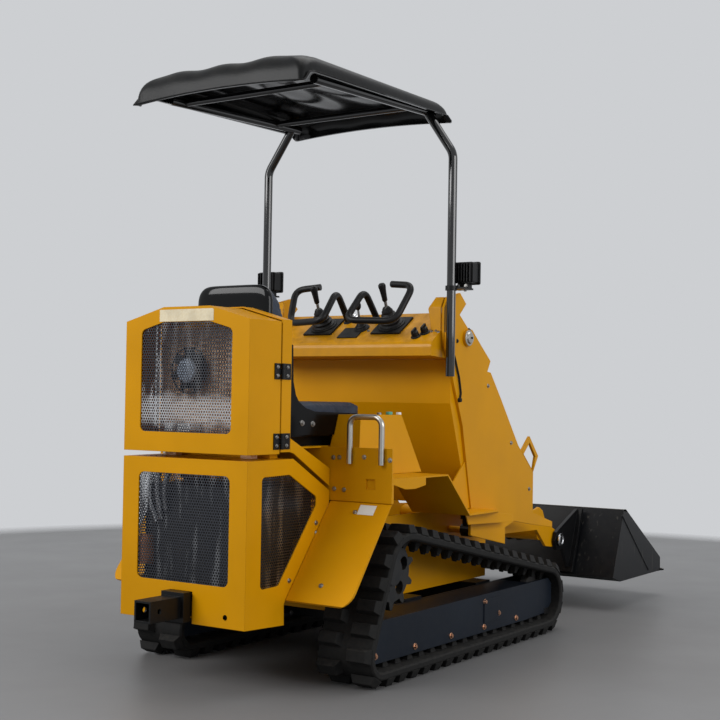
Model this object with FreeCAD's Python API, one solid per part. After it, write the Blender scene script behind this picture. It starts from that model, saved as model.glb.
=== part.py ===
# Compact track loader: a small ride-on loader on rubber tracks, with a canopy,
# a stand-up control console behind a lift arm, and a bucket.
#
# Frame: +X forward, +Y left, +Z up, millimetres. The shapes are drawn with x = 0 at the
# rear face of the engine box and the ground at GROUND_Z, and are moved to the middle of
# the machine's footprint, with the ground at z = 0, when they are exported.
# Every outline is a list of (x, z) points, seen from the side, unless its comment says
# otherwise. "Right" is -Y.
import FreeCAD, Part
import math
import os

V = FreeCAD.Vector
AXIS_X = V(1, 0, 0)
AXIS_Y = V(0, 1, 0)
AXIS_Z = V(0, 0, 1)

# ---------------------------------------------------------------- driving dimensions
SHEET = 4.0                     # sheet steel of the covers
PLATE = 10.0                    # structural plate

# tracks and running gear
LINK_PITCH = 73.0
LINKS = 42
SPROCKET_TEETH = 10
GROUND_Z = -7.0                 # the ground, in the z of the outlines
TRACK_INNER_Y = 278.0
TRACK_OUTER_Y = 478.0
DRIVE_Y = 394.0                 # line of the sprocket and of the wheels
BAND_HALF = 12.0                # half the thickness of the rubber band
LUG_HEIGHT = 24.0               # tread lug, outside the band
GUIDE_HEIGHT = 25.0             # guide lug, inside the band
TREAD_SHARE = 0.56              # share of a link's length that a tread lug takes
GUIDE_SHARE = 0.40
LUG_DRAFT = 4.0                 # slope of a lug's ends
GUIDE_INNER_Y = 17.0            # from the drive line to a guide lug
GUIDE_OUTER_Y = 37.0
WINDOW_LENGTH = 36.0            # hole in the band for a sprocket tooth
SPROCKET_X, SPROCKET_Z = 545.0, 325.0
REAR_WHEEL_X, REAR_WHEEL_R = 391.0, 48.0
FRONT_WHEEL_R = 89.0
ROLLER_R = 40.0
FRONT_SHAFT_R, REAR_SHAFT_R, ROLLER_SHAFT_R = 18.0, 15.0, 12.0
ROLLER_XS = (631.0, 867.0, 1105.0, 1348.0)

# engine box, lower part of the rear body
BODY_HALF = 245.0
BOX_TOP_Z = 686.0
GRILLE_HALF = 180.0

# rear door, upper part of the rear body, and the frame that it closes on
DOOR_BOTTOM_Z, DOOR_SHOULDER_Z, DOOR_TOP_Z = 702.0, 1100.0, 1142.0
DOOR_FLAT_HALF = 91.0
DOOR_DEPTH = 152.0
FRAME_REAR_X, FRAME_FRONT_X = 158.0, 205.0
HINGE_X, HINGE_Y = 155.0, -251.5
HINGE_R, HINGE_PIN_R = 6.5, 3.0
HINGE_HALF = 24.0               # half the height of a leaf
DOOR_LEAF, FRAME_LEAF = 35.0, 44.0
KNUCKLES = ((-24.5, -8.5), (-8.5, 8.5), (8.5, 24.5))
HINGE_ZS = (740.0, 950.0)

# deck, tower and console
RISER_X = 420.0
RISER_BOTTOM_Z, RISER_TOP_Z = 530.0, 719.0
DECK_OUTER_Y = 476.0
STEP_Z = 627.0
DECK_Z = 487.0
TOWER_INNER_Y = 365.0
TOWER_WALL_X = 940.0

# lift arm and its cylinders: pivots as (x, z)
ARM_INNER_Y, ARM_OUTER_Y = 250.0, 262.0
ARM_PIVOT = (1065.0, 1093.0)
LIFT_BASE = (1200.0, 400.0)
LIFT_EYE = (1215.0, 906.0)
LIFT_Y = 312.0
EAR_INNER_Y = 267.0
BUCKET_PIVOT = (2060.0, 293.0)
TILT_BASE = (1500.0, 575.0)
TILT_EYE = (2036.0, 431.0)
PIN_R = 12.0
PIN_GAP = 0.05                  # running clearance of a pin in its eye
ROD_R = 14.0                    # rods of the lift and tilt cylinders
EYE_HALF = 18.0                 # half the width of a cylinder's eye
TILT_EYE_HALF = 17.0            # the tilt rod's eye, between the ears of the attach plate
LIFT_PIN_END_Y = LIFT_Y + 24.0  # outer end of the pins at both ends of a lift cylinder
LIFT_ROD_START, TILT_ROD_START = 90.0, 120.0    # from the base pivot to the rod's hidden end
LIFT_BARREL_R, TILT_BARREL_R = 25.0, 28.0
BARREL_LENGTH = 440.0           # from the base pivot to the open end

# bucket
BUCKET_HALF = 474.0
BUCKET_SHEET = 6.0
BUCKET_EDGE_X = 2783.0

# receiver hitch, for a 2 inch drawbar
RECEIVER_OUTER = 63.5
RECEIVER_INNER = 51.0
RECEIVER_REACH = 165.0
RECEIVER_Z = 246.0
RECEIVER_PIN_X = -45.0 - RECEIVER_REACH / 2
RECEIVER_PIN_R = 8.0

# canopy
POST_X, POST_Y, POST_R = 905.0, 400.0, 15.5
POST_FOOT_Z = 953.0
CABLE_R = 3.5
RAIL_Y, RAIL_Z = 292.0, 1878.0
RAIL_SLOPE = 40.0 / 880.0
CROSS_TUBE_XS, CROSS_TUBE_R = (300.0, 800.0), 11.0
ROOF_REAR_X, ROOF_FRONT_X = 110.0, 990.0
ROOF_HALF, ROOF_TAPER = 336.0, 46.0
ROOF_TOP = (1914.0, 1924.8)      # heights of the top at its rear and front edges
VISOR_Z = (1813.0, 1853.0)       # lips of the rear and front visors
SIDE_LIP = (1853.0, 1878.0)      # lip of each side, near the rear and the front visor
ROOF_SHEET, ROOF_FLANGE = 5.0, 8.0
VISOR_SLOPE = 16.0               # how far each visor leans in

MIDDLE_X = (BUCKET_EDGE_X - RECEIVER_REACH) / 2


# ---------------------------------------------------------------- small tools
def box(x0, x1, y0, y1, z0, z1):
    return Part.makeBox(x1 - x0, y1 - y0, z1 - z0, V(x0, y0, z0))


def cyl(x, y, z, r, length, axis=AXIS_Y):
    """A cylinder that starts at the point and runs along the axis."""
    return Part.makeCylinder(r, length, V(x, y, z), axis)


def polygon_face(points):
    return Part.Face(Part.makePolygon(points + [points[0]]))


def side_prism(outline, y0, y1):
    """An (x, z) outline, made solid from y0 to y1."""
    face = polygon_face([V(x, y0, z) for x, z in outline])
    return face.extrude(V(0, y1 - y0, 0))


def end_prism(outline, x0, x1):
    """A (y, z) outline, made solid from x0 to x1."""
    face = polygon_face([V(x0, y, z) for y, z in outline])
    return face.extrude(V(x1 - x0, 0, 0))


def plan_prism(outline, z0, z1):
    """An (x, y) outline, made solid from z0 to z1."""
    face = polygon_face([V(x, y, z0) for x, y in outline])
    return face.extrude(V(0, 0, z1 - z0))


def fuse(shapes):
    whole = shapes[0].multiFuse(shapes[1:]) if len(shapes) > 1 else shapes[0]
    return whole.removeSplitter()


def group(shapes):
    """Separate solids that share one node."""
    return Part.makeCompound(shapes)


def mirrored(shape):
    return shape.mirror(V(0, 0, 0), AXIS_Y)


def both_sides(shape):
    return [shape, mirrored(shape)]


def edges_along(shape, axis):
    """The straight edges that run along an axis."""
    found = []
    for edge in shape.Edges:
        way = edge.Vertexes[-1].Point - edge.Vertexes[0].Point
        if way.Length > 1e-6 and abs(way.normalize().dot(axis)) > 0.9999:
            found.append(edge)
    return found


def rounded(shape, axis, radius):
    return shape.makeFillet(radius, edges_along(shape, axis))


def bent_path(points, radii):
    """Straight runs joined by tangent arcs, one radius for each inner point."""
    edges = []
    start = points[0]
    for before, corner, after, radius in zip(points, points[1:], points[2:], radii):
        back = (before - corner).normalize()
        ahead = (after - corner).normalize()
        half_turn = (math.pi - back.getAngle(ahead)) / 2
        run = radius * math.tan(half_turn)
        arc_start = corner + back * run
        arc_end = corner + ahead * run
        inward = (back + ahead).normalize()
        middle = corner + inward * (radius / math.cos(half_turn) - radius)
        if (arc_start - start).Length > 0.01:
            edges.append(Part.LineSegment(start, arc_start).toShape())
        edges.append(Part.Arc(arc_start, middle, arc_end).toShape())
        start = arc_end
    edges.append(Part.LineSegment(start, points[-1]).toShape())
    return Part.Wire(edges)


def rod(points, radii, r):
    """A round bar, or the outside of a tube, along a bent path."""
    path = bent_path(points, radii)
    first = (points[1] - points[0]).normalize()
    section = Part.Wire([Part.makeCircle(r, points[0], first)])
    return path.makePipeShell([section], True, False)


def pivot_boss(pivot, r, y0, y1):
    return cyl(pivot[0], y0, pivot[1], r, y1 - y0)


def between(start, end, along, offset=0.0):
    """The (x, z) point a distance from start towards end."""
    length = math.dist(start, end)
    way = ((end[0] - start[0]) / length, (end[1] - start[1]) / length)
    x = start[0] + way[0] * along - way[1] * offset
    z = start[1] + way[1] * along + way[0] * offset
    return (x, z)


def bar_between(start, end, y, r, from_length, to_length):
    """A cylinder along the line between two (x, z) pivots, at one y."""
    first = between(start, end, from_length)
    way = V(end[0] - start[0], 0, end[1] - start[1])
    return Part.makeCylinder(r, to_length - from_length, V(first[0], y, first[1]), way)


# ---------------------------------------------------------------- track path
# The pitch line of the band wraps three circles, travelling up the back, forward over
# the sprocket, down round the front wheel and back along the ground.
PITCH_Z = GROUND_Z + LUG_HEIGHT + BAND_HALF      # of the run along the ground
SPROCKET_PITCH_R = SPROCKET_TEETH * LINK_PITCH / (2 * math.pi)
REAR_PITCH_R = REAR_WHEEL_R + 1.0 + BAND_HALF
FRONT_PITCH_R = FRONT_WHEEL_R + 1.0 + BAND_HALF


def belt_spans(front_x):
    """Each wheel's arc and the straight run that leaves it."""
    rear = (REAR_WHEEL_X, REAR_PITCH_R + PITCH_Z, REAR_PITCH_R)
    top = (SPROCKET_X, SPROCKET_Z, SPROCKET_PITCH_R)
    front = (front_x, FRONT_PITCH_R + PITCH_Z, FRONT_PITCH_R)
    circles = [rear, top, front]
    normals = []
    for here, there in zip(circles, circles[1:] + circles[:1]):
        heading = math.atan2(there[1] - here[1], there[0] - here[0])
        gap = math.dist(here[:2], there[:2])
        normals.append(heading + math.acos((here[2] - there[2]) / gap))
    spans = []
    for index, (x, z, r) in enumerate(circles):
        arrive = normals[index - 1]
        leave = normals[index]
        while leave > arrive:
            leave -= 2 * math.pi
        nxt = circles[(index + 1) % 3]
        gap = math.dist((x, z), nxt[:2])
        run = math.sqrt(gap ** 2 - (r - nxt[2]) ** 2)
        spans.append((x, z, r, arrive, leave, run))
    return spans


def belt_length(front_x):
    return sum(r * (arrive - leave) + run for _, _, r, arrive, leave, run in belt_spans(front_x))


def front_wheel_x():
    """Where the front wheel stands when the track has its whole number of links."""
    low, high = 1300.0, 1900.0
    while high - low > 1e-6:
        middle = (low + high) / 2
        if belt_length(middle) < LINKS * LINK_PITCH:
            low = middle
        else:
            high = middle
    return low


FRONT_WHEEL_X = front_wheel_x()
FRONT_WHEEL_Z = FRONT_PITCH_R + PITCH_Z
REAR_WHEEL_Z = REAR_PITCH_R + PITCH_Z
ROLLER_Z = PITCH_Z + BAND_HALF + 1.0 + ROLLER_R
BELT = belt_spans(FRONT_WHEEL_X)


def sprocket_start():
    """Distance along the belt to the start of the sprocket's arc."""
    _, _, r, arrive, leave, run = BELT[0]
    return r * (arrive - leave) + run


def belt_point(distance, outward):
    """The (x, z) point at a distance along the pitch line, moved outward from it."""
    distance %= LINKS * LINK_PITCH
    for x, z, r, arrive, leave, run in BELT:
        arc = r * (arrive - leave)
        if distance <= arc:
            angle = arrive - distance / r
            return (x + (r + outward) * math.cos(angle), z + (r + outward) * math.sin(angle))
        distance -= arc
        if distance <= run:
            normal = (math.cos(leave), math.sin(leave))
            px = x + (r + outward) * normal[0] + distance * normal[1]
            pz = z + (r + outward) * normal[1] - distance * normal[0]
            return (px, pz)
        distance -= run
    return belt_point(0.0, outward)


def belt_outline(phase, lug_share, base, height):
    """One side of the band, with a lug at every link, as a closed outline."""
    points = []
    half = LINK_PITCH * lug_share / 2
    flat = (LINK_PITCH - 2 * half) / 3
    for link in range(LINKS):
        middle = phase + link * LINK_PITCH
        points.append(belt_point(middle - half, base))
        points.append(belt_point(middle - half + LUG_DRAFT, base + height))
        points.append(belt_point(middle + half - LUG_DRAFT, base + height))
        points.append(belt_point(middle + half, base))
        points.append(belt_point(middle + half + flat, base))
        points.append(belt_point(middle + half + 2 * flat, base))
    return points


def plain_outline(base):
    step = LINK_PITCH / 4
    return [belt_point(step * index, base) for index in range(4 * LINKS)]


def belt_ring(outer, inner, y0, y1):
    return side_prism(outer, y0, y1).cut(side_prism(inner, y0 - 1, y1 + 1))


def make_track():
    """The left track: two rows of tread lugs, windows for the sprocket, and guide lugs."""
    phase = sprocket_start()
    tread_outer = belt_outline(phase, TREAD_SHARE, BAND_HALF, LUG_HEIGHT)
    tread_inner = belt_outline(phase + LINK_PITCH / 2, TREAD_SHARE, BAND_HALF, LUG_HEIGHT)
    plain = plain_outline(-BAND_HALF)
    guides = belt_outline(phase + LINK_PITCH / 2, GUIDE_SHARE, -BAND_HALF, -GUIDE_HEIGHT)
    pieces = []
    for outer, side in ((tread_outer, 1), (tread_inner, -1)):
        near = DRIVE_Y + side * GUIDE_INNER_Y
        far = DRIVE_Y + side * GUIDE_OUTER_Y
        edge = TRACK_OUTER_Y if side > 0 else TRACK_INNER_Y
        pieces.append(belt_ring(outer, guides, min(near, far), max(near, far)))
        pieces.append(belt_ring(outer, plain, min(far, edge), max(far, edge)))
    y0 = DRIVE_Y - GUIDE_INNER_Y
    y1 = DRIVE_Y + GUIDE_INNER_Y
    for link in range(LINKS):
        start = phase + link * LINK_PITCH + WINDOW_LENGTH / 2
        length = LINK_PITCH - WINDOW_LENGTH
        steps = [start + length * part / 4 for part in range(5)]
        bridge = [belt_point(s, BAND_HALF) for s in steps]
        bridge += [belt_point(s, -BAND_HALF) for s in reversed(steps)]
        pieces.append(side_prism(bridge, y0, y1))
    return pieces[0].multiFuse(pieces[1:])


# ---------------------------------------------------------------- running gear
SPROCKET_HALF = 13.0
SPROCKET_ROOT_R, SPROCKET_TIP_R = 97.0, 122.0
SPROCKET_HUB_R = 44.0
SPROCKET_HOLES, SPROCKET_HOLE_R, SPROCKET_HOLE_LINE = 5, 22.0, 67.0
MOTOR_END_Y = 300.0             # outer end of the travel motor
FRAME_INNER_Y, FRAME_OUTER_Y = 308.0, 444.0


def make_sprocket():
    """Ten teeth, five lightening holes and a hub that reaches the travel motor."""
    y0 = DRIVE_Y - SPROCKET_HALF
    width = 2 * SPROCKET_HALF
    disc = cyl(SPROCKET_X, y0, SPROCKET_Z, SPROCKET_ROOT_R, width)
    first_angle = BELT[1][3]
    teeth = []
    for tooth in range(SPROCKET_TEETH):
        profile = [(-14, SPROCKET_ROOT_R - 6), (-12, 106), (-6, SPROCKET_TIP_R),
                   (6, SPROCKET_TIP_R), (12, 106), (14, SPROCKET_ROOT_R - 6)]
        angle = first_angle - tooth * 2 * math.pi / SPROCKET_TEETH
        turned = []
        for across, out in profile:
            x = SPROCKET_X + out * math.cos(angle) - across * math.sin(angle)
            z = SPROCKET_Z + out * math.sin(angle) + across * math.cos(angle)
            turned.append((x, z))
        teeth.append(side_prism(turned, y0, y0 + width))
    hub = cyl(SPROCKET_X, MOTOR_END_Y, SPROCKET_Z, SPROCKET_HUB_R, y0 + width + 7 - MOTOR_END_Y)
    gear = fuse([disc, hub] + teeth)
    for hole in range(SPROCKET_HOLES):
        angle = math.radians(18 + 360 / SPROCKET_HOLES * hole)
        x = SPROCKET_X + SPROCKET_HOLE_LINE * math.cos(angle)
        z = SPROCKET_Z + SPROCKET_HOLE_LINE * math.sin(angle)
        gear = gear.cut(cyl(x, y0 - 5, z, SPROCKET_HOLE_R, width + 10))
    return gear


def wheel_on_shaft(x, z, r, shaft_r):
    """A wheel that runs between the guide lugs, on a shaft from plate to plate."""
    disc = cyl(x, DRIVE_Y - SPROCKET_HALF, z, r, 2 * SPROCKET_HALF)
    shaft = cyl(x, FRAME_INNER_Y + PLATE, z, shaft_r, FRAME_OUTER_Y - FRAME_INNER_Y - 2 * PLATE)
    return fuse([disc, shaft])


def make_track_frame():
    """A beam inside the track: two side plates and a cover between them."""
    outline = [(386, 190), (1612, 194), (1640, 172), (1640, 100), (1600, 66), (1424, 60),
               (366, 62), (352, 78), (350, 98)]
    outer = side_prism(outline, FRAME_OUTER_Y - PLATE, FRAME_OUTER_Y)
    inner = side_prism(outline, FRAME_INNER_Y, FRAME_INNER_Y + PLATE)
    cover = side_prism([(440, 180), (1460, 184), (1460, 193), (440, 189)],
                       FRAME_INNER_Y + PLATE, FRAME_OUTER_Y - PLATE)
    return fuse([outer, inner, cover])


def make_cross_members():
    """Two beams under the chassis that carry the track frames."""
    beams = []
    for x in (780.0, 1280.0):
        beams.append(box(x, x + 110, -FRAME_INNER_Y, FRAME_INNER_Y, 100, 200))
    return group(beams)


# ---------------------------------------------------------------- chassis and rear body
def make_chassis():
    """A welded tub between the tracks, open at the top, with travel motors at its sides."""
    outline = [(424, 200), (1480, 200), (1480, 400), (1330, 470), (424, 480)]
    inside = [(432, 208), (1472, 208), (1472, 500), (432, 500)]
    half, wall, motor_r = 240.0, 8.0, 60.0
    tub = side_prism(outline, -half, half).cut(side_prism(inside, -half + wall, half - wall))
    motors = []
    for y0, y1 in ((half, MOTOR_END_Y), (-MOTOR_END_Y, -half)):
        motors.append(cyl(SPROCKET_X, y0, SPROCKET_Z, motor_r, y1 - y0))
    lift_pins = []
    for side in (1, -1):
        start = half if side > 0 else -half
        length = side * (LIFT_PIN_END_Y - half)
        lift_pins.append(cyl(LIFT_BASE[0], min(start, start + length), LIFT_BASE[1], PIN_R, abs(length)))
    return fuse([tub] + motors + lift_pins)


ENGINE_BOX_OUTLINE = [(0, 195), (189, 187), (187, 250), (414, 528), (418, 580), (222, 686), (0, 684)]
SIDE_WINDOW = [(70, 305), (70, 635), (205, 638), (345, 565), (345, 538), (158, 308)]


def make_engine_box():
    """The lower engine housing, with a window at the back and one at each side."""
    inside = [(SHEET, 199), (185, 191), (183, 251), (410, 529), (414, 577), (221, 682), (SHEET, 680)]
    shell = side_prism(ENGINE_BOX_OUTLINE, -BODY_HALF, BODY_HALF)
    shell = shell.cut(side_prism(inside, -BODY_HALF + SHEET, BODY_HALF - SHEET))
    rear_window = rounded(box(-5, 10, -GRILLE_HALF, GRILLE_HALF, 314, 638), AXIS_X, 20)
    side_window = rounded(side_prism(SIDE_WINDOW, -BODY_HALF - 5, BODY_HALF + 5), AXIS_Y, 14)
    front_opening = box(188, 425, -212, 212, 240, 630)
    floor_opening = box(-5, 200, -45, 45, 180, 290)
    shell = shell.cut(rear_window).cut(side_window).cut(front_opening)
    return shell.cut(floor_opening)


def make_engine_box_grilles():
    """Three flat panels behind the windows of the engine box."""
    rear = box(SHEET + 0.5, SHEET + 2.5, -GRILLE_HALF - 12, GRILLE_HALF + 12, 302, 650)
    outline = [(58, 294), (58, 646), (208, 650), (357, 572), (357, 534), (163, 296)]
    side = side_prism(outline, BODY_HALF - SHEET - 2.5, BODY_HALF - SHEET - 0.5)
    return group([rear] + both_sides(side))


def door_outline(inset, bottom):
    """The (y, z) outline of the upper body, shrunk by an inset."""
    half = BODY_HALF - inset
    flat = DOOR_FLAT_HALF - inset * 0.2
    shoulder = DOOR_SHOULDER_Z - inset * 0.8
    top = DOOR_TOP_Z - inset
    return [(-half, bottom), (half, bottom), (half, shoulder), (flat, top), (-flat, top), (-half, shoulder)]


def make_rear_door():
    """A deep door with a grilled window, open at its front."""
    shell = end_prism(door_outline(0, DOOR_BOTTOM_Z), 0, DOOR_DEPTH)
    shell = shell.cut(end_prism(door_outline(SHEET, DOOR_BOTTOM_Z + SHEET), SHEET, DOOR_DEPTH + 5))
    shell = shell.cut(box(40, DOOR_DEPTH + 5, -222, 222, DOOR_BOTTOM_Z - 5, DOOR_BOTTOM_Z + 10))
    window = [(-GRILLE_HALF, 762), (GRILLE_HALF, 762), (GRILLE_HALF, 1072), (92, 1096),
              (-92, 1096), (-GRILLE_HALF, 1072)]
    return shell.cut(rounded(end_prism(window, -5, 10), AXIS_X, 18))


def make_rear_door_grille():
    outline = [(-192, 750), (192, 750), (192, 1080), (96, 1106), (-96, 1106), (-192, 1080)]
    return end_prism(outline, SHEET + 0.5, SHEET + 2.5)


def hinge_leaf(z, towards, knuckles):
    """One leaf of a door hinge, with its share of the knuckle, as (z0, z1) spans."""
    far = HINGE_X + (FRAME_LEAF if towards > 0 else -DOOR_LEAF)
    near = HINGE_X + towards
    leaf = box(min(near, far), max(near, far), -BODY_HALF - 3.5, -BODY_HALF, z - HINGE_HALF, z + HINGE_HALF)
    for clear0, clear1 in KNUCKLES:
        if (clear0, clear1) not in knuckles:
            gap = box(HINGE_X - 9, HINGE_X + 9, -BODY_HALF - 10, -BODY_HALF + 5, z + clear0, z + clear1)
            leaf = leaf.cut(gap)
    rounds = []
    for z0, z1 in knuckles:
        rounds.append(cyl(HINGE_X, HINGE_Y, z + z0 + 0.5, HINGE_R, z1 - z0 - 1, AXIS_Z))
    return leaf, rounds


def make_door_hinge_leaves():
    leaves = []
    for z in HINGE_ZS:
        leaf, rounds = hinge_leaf(z, -1, KNUCKLES[1:2])
        bore = cyl(HINGE_X, HINGE_Y, z - 40, HINGE_PIN_R + PIN_GAP, 80, AXIS_Z)
        leaves.append(fuse([leaf] + rounds).cut(bore))
    return group(leaves)


def make_frame_hinge_leaves():
    leaves = []
    for z in HINGE_ZS:
        leaf, rounds = hinge_leaf(z, 1, KNUCKLES[::2])
        pin = cyl(HINGE_X, HINGE_Y, z - HINGE_HALF, HINGE_PIN_R, 2 * HINGE_HALF, AXIS_Z)
        leaves.append(fuse([leaf, pin] + rounds))
    return group(leaves)


def make_bulkhead():
    """The fixed frame behind the seat that the door closes on."""
    bottom = BOX_TOP_Z + 14
    shell = end_prism(door_outline(0, bottom), FRAME_REAR_X, FRAME_FRONT_X)
    shell = shell.cut(end_prism(door_outline(SHEET, bottom + SHEET), FRAME_REAR_X - 5, FRAME_FRONT_X - SHEET))
    shell.translate(V(0, 0, 7))
    foot = box(FRAME_REAR_X + 6, FRAME_FRONT_X - 4, -200, 200, BOX_TOP_Z, bottom + 9)
    return fuse([shell, foot])


def make_side_cowls():
    """A bent strip down each side, from the door frame to the riser plate."""
    web = side_prism([(206, 748), (417, 650), (417, 594), (224, 702), (206, 706)], BODY_HALF - SHEET, BODY_HALF)
    top = side_prism([(206, 748), (417, 650), (417, 646), (206, 744)], BODY_HALF - 32, BODY_HALF - SHEET)
    return group(both_sides(fuse([web, top])))


def make_engine_block():
    return box(45, 395, -190, 190, 300, 600).cut(box(300, 400, -200, 200, 290, 430))


def make_radiator():
    core = box(104, 148, -185, 185, 745, 1055)
    tank = box(98, 150, -185, 185, 1055, 1080)
    feet = [box(110, 140, y, y + 40, BOX_TOP_Z, 745) for y in (-170, 130)]
    return fuse([core, tank] + feet)


FAN_X, FAN_Y, FAN_Z = 80.0, 48.0, 950.0
FAN_BLADES = 7
FAN_SHAFT_R = 5.0


def make_fan_motor():
    """The motor on the face of the radiator, with the stub shaft of the fan."""
    body = cyl(FAN_X + 6, FAN_Y, FAN_Z, 34, 104 - FAN_X - 6, AXIS_X)
    shaft = cyl(FAN_X - 8, FAN_Y, FAN_Z, FAN_SHAFT_R, 16, AXIS_X)
    return fuse([body, shaft])


def make_cooling_fan():
    """A hub with its blades, on the shaft of its motor."""
    hub = cyl(FAN_X - 14, FAN_Y, FAN_Z, 28, 16, AXIS_X)
    blade = box(FAN_X - 10, FAN_X - 5, -15, 15, 24, 66)
    blades = []
    for index in range(FAN_BLADES):
        turned = blade.copy()
        turned.rotate(V(FAN_X - 7.5, 0, 45), AXIS_Z, 28)
        turned.rotate(V(0, 0, 0), AXIS_X, index * 360.0 / FAN_BLADES)
        turned.translate(V(0, FAN_Y, FAN_Z))
        blades.append(turned)
    fan = fuse([hub] + blades)
    return fan.cut(cyl(FAN_X - 10, FAN_Y, FAN_Z, FAN_SHAFT_R + PIN_GAP, 20, AXIS_X))


def make_receiver_hitch():
    """A square receiver tube in a collar, with a cross hole for the hitch pin."""
    half = RECEIVER_OUTER / 2
    tube = box(-RECEIVER_REACH, 60, -half, half, RECEIVER_Z - half, RECEIVER_Z + half)
    collar = box(-38, -6, -44, 44, RECEIVER_Z - 44, RECEIVER_Z + 44)
    body = fuse([tube, collar])
    inner = RECEIVER_INNER / 2
    body = body.cut(box(-RECEIVER_REACH - 5, 40, -inner, inner, RECEIVER_Z - inner, RECEIVER_Z + inner))
    return body.cut(cyl(RECEIVER_PIN_X, -60, RECEIVER_Z, RECEIVER_PIN_R, 120))


# ---------------------------------------------------------------- deck, seat and tower
def make_riser_plate():
    """The upright plate across the machine behind the seat platform, and the platform."""
    plate = box(RISER_X, RISER_X + 6, -DECK_OUTER_Y, DECK_OUTER_Y, RISER_BOTTOM_Z + 20, RISER_TOP_Z)
    slots = both_sides(box(RISER_X - 5, RISER_X + 10, 381, 415, 591, 622))
    shelf = box(210, RISER_X + 6, -208, 208, RISER_TOP_Z - 5, RISER_TOP_Z)
    platform = box(RISER_X + 6, 700, -195, 195, RISER_TOP_Z - 5, RISER_TOP_Z)
    legs = [box(690, 700, -195, -189, 481, RISER_TOP_Z - 5), box(690, 700, 189, 195, 481, RISER_TOP_Z - 5)]
    body = fuse([plate, shelf, platform] + legs)
    return body.cut(group(slots))


def make_fender():
    """Left side: the guard behind the sprocket, the step, and the deck in front of it."""
    inner = BODY_HALF + 2
    ramp = [(RISER_X - 1, 546), (RISER_X + 5, 550), (204, 262), (200, 256), (192, 262)]
    guard = side_prism(ramp, inner, DECK_OUTER_Y)
    corner = 42.0
    rounding = [(DECK_OUTER_Y - corner * (1 - math.sin(a)), 256 + corner * (1 - math.cos(a)))
                for a in (math.radians(15.0 * i) for i in range(7))]
    outside = [(DECK_OUTER_Y + 5, 256 + corner), (DECK_OUTER_Y + 5, 245), (DECK_OUTER_Y - corner, 245)]
    guard = guard.cut(end_prism(rounding + outside, 150, 260))
    profile = [(RISER_X + 6, 550), (RISER_X + 12, 550), (RISER_X + 12, STEP_Z - 5), (767, STEP_Z - 5),
               (921, DECK_Z - 6), (1137, DECK_Z - 6), (1340, 457), (1340, 462), (1137, DECK_Z),
               (924, DECK_Z), (770, STEP_Z), (RISER_X + 6, STEP_Z)]
    step = side_prism(profile, inner, DECK_OUTER_Y)
    tower_side = TOWER_INNER_Y + PLATE + 0.5
    front_cut = plan_prism([(1128, DECK_OUTER_Y + 1), (1335, 370), (1345, 370), (1345, DECK_OUTER_Y + 1)], 440, 520)
    tower_way = box(1095, 1400, inner - 1, tower_side, 440, 520)
    step = step.cut(front_cut).cut(tower_way)
    step_skirt = side_prism([(RISER_X + 12, STEP_Z - 5), (625, STEP_Z - 5), (625, 599), (560, 590),
                             (500, 591), (RISER_X + 12, 608)], DECK_OUTER_Y - SHEET, DECK_OUTER_Y)
    deck_skirt = side_prism([(985, DECK_Z - 6), (1137, DECK_Z - 6), (1345, 455), (1345, 428), (1006, 441)],
                            DECK_OUTER_Y - 56, DECK_OUTER_Y - 56 + SHEET)
    return fuse([guard, step, step_skirt, deck_skirt])


def make_side_tanks():
    """A tapering tank each side of the seat, standing on the step."""
    foot_z = STEP_Z + 0.5
    bottom = [V(445, 205, foot_z), V(832, 205, foot_z), V(832, 335, foot_z), V(445, 335, foot_z)]
    top = [V(508, 205, 820), V(757, 205, 820), V(757, 299, 820), V(508, 299, 820)]
    wires = [Part.makePolygon(loop + [loop[0]]) for loop in (bottom, top)]
    return group(both_sides(Part.makeLoft(wires, True, True)))


def make_grab_handles():
    """A bent steel hoop on the back of the riser plate, on each side."""
    x = RISER_X - 11
    inner_y, outer_y = 325, 443
    points = [V(x, inner_y, 668), V(x, inner_y, 815), V(x, outer_y, 815), V(x, outer_y, 668)]
    hoop = rod(points, [28, 28], 9)
    pads = [box(x, RISER_X, y - 6, y + 6, 676, 700) for y in (inner_y, outer_y)]
    return group(both_sides(fuse([hoop] + pads)))


def make_seat_base():
    """The rails and the shell under the cushion."""
    rails = [box(270, 640, y, y + 36, RISER_TOP_Z, 748) for y in (-160, 124)]
    tray = box(208, 660, -195, 195, 748, 778)
    back = side_prism([(208, 778), (245, 778), (238, 1206), (226, 1224), (214, 1222), (208, 1210)], -140, 140)
    wings = side_prism([(245, 778), (420, 778), (330, 800), (262, 880), (245, 1000)], 206, 212)
    sills = box(208, 440, 194, 212, 748, 778)
    shoulders = box(208, 245, 139, 212, 778, 1000)
    return fuse([tray, back] + rails + both_sides(wings) + both_sides(sills) + both_sides(shoulders))


def make_seat_cushion():
    outline = [(262, 780), (672, 780), (692, 820), (668, 862), (300, 852), (262, 862)]
    return rounded(side_prism(outline, -192, 192), AXIS_Y, 8)


def make_seat_back():
    """The back cushion: wide at the hips, narrow at the top."""
    side = [(264, 872), (300, 866), (320, 882), (290, 1205), (266, 1232), (247, 1218), (247, 884)]
    front = [(-150, 860), (150, 860), (160, 1040), (146, 1126), (124, 1184), (86, 1235), (-86, 1235), (-124, 1184),
             (-146, 1126), (-160, 1040)]
    return side_prism(side, -210, 210).common(end_prism(front, 200, 340))


TOWER_OUTLINE = [(1113, 492), (1113, 392), (1380, 340), (1380, 400), (1451, 418), (1451, 451),
                 (1612, 425), (1612, 596), (1480, 705), (1337, 876),
                 (1250, 975), (1224, 978), (1247, 1017), (1175, 1070), (1105, 1124), (1075, 1127),
                 (1012, 1172), (1058, 1213), (1013, 1249), (925, 1228), (903, 1190), (903, 1080),
                 (940, 1000), (968, 950), (1044, 782)]


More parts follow.
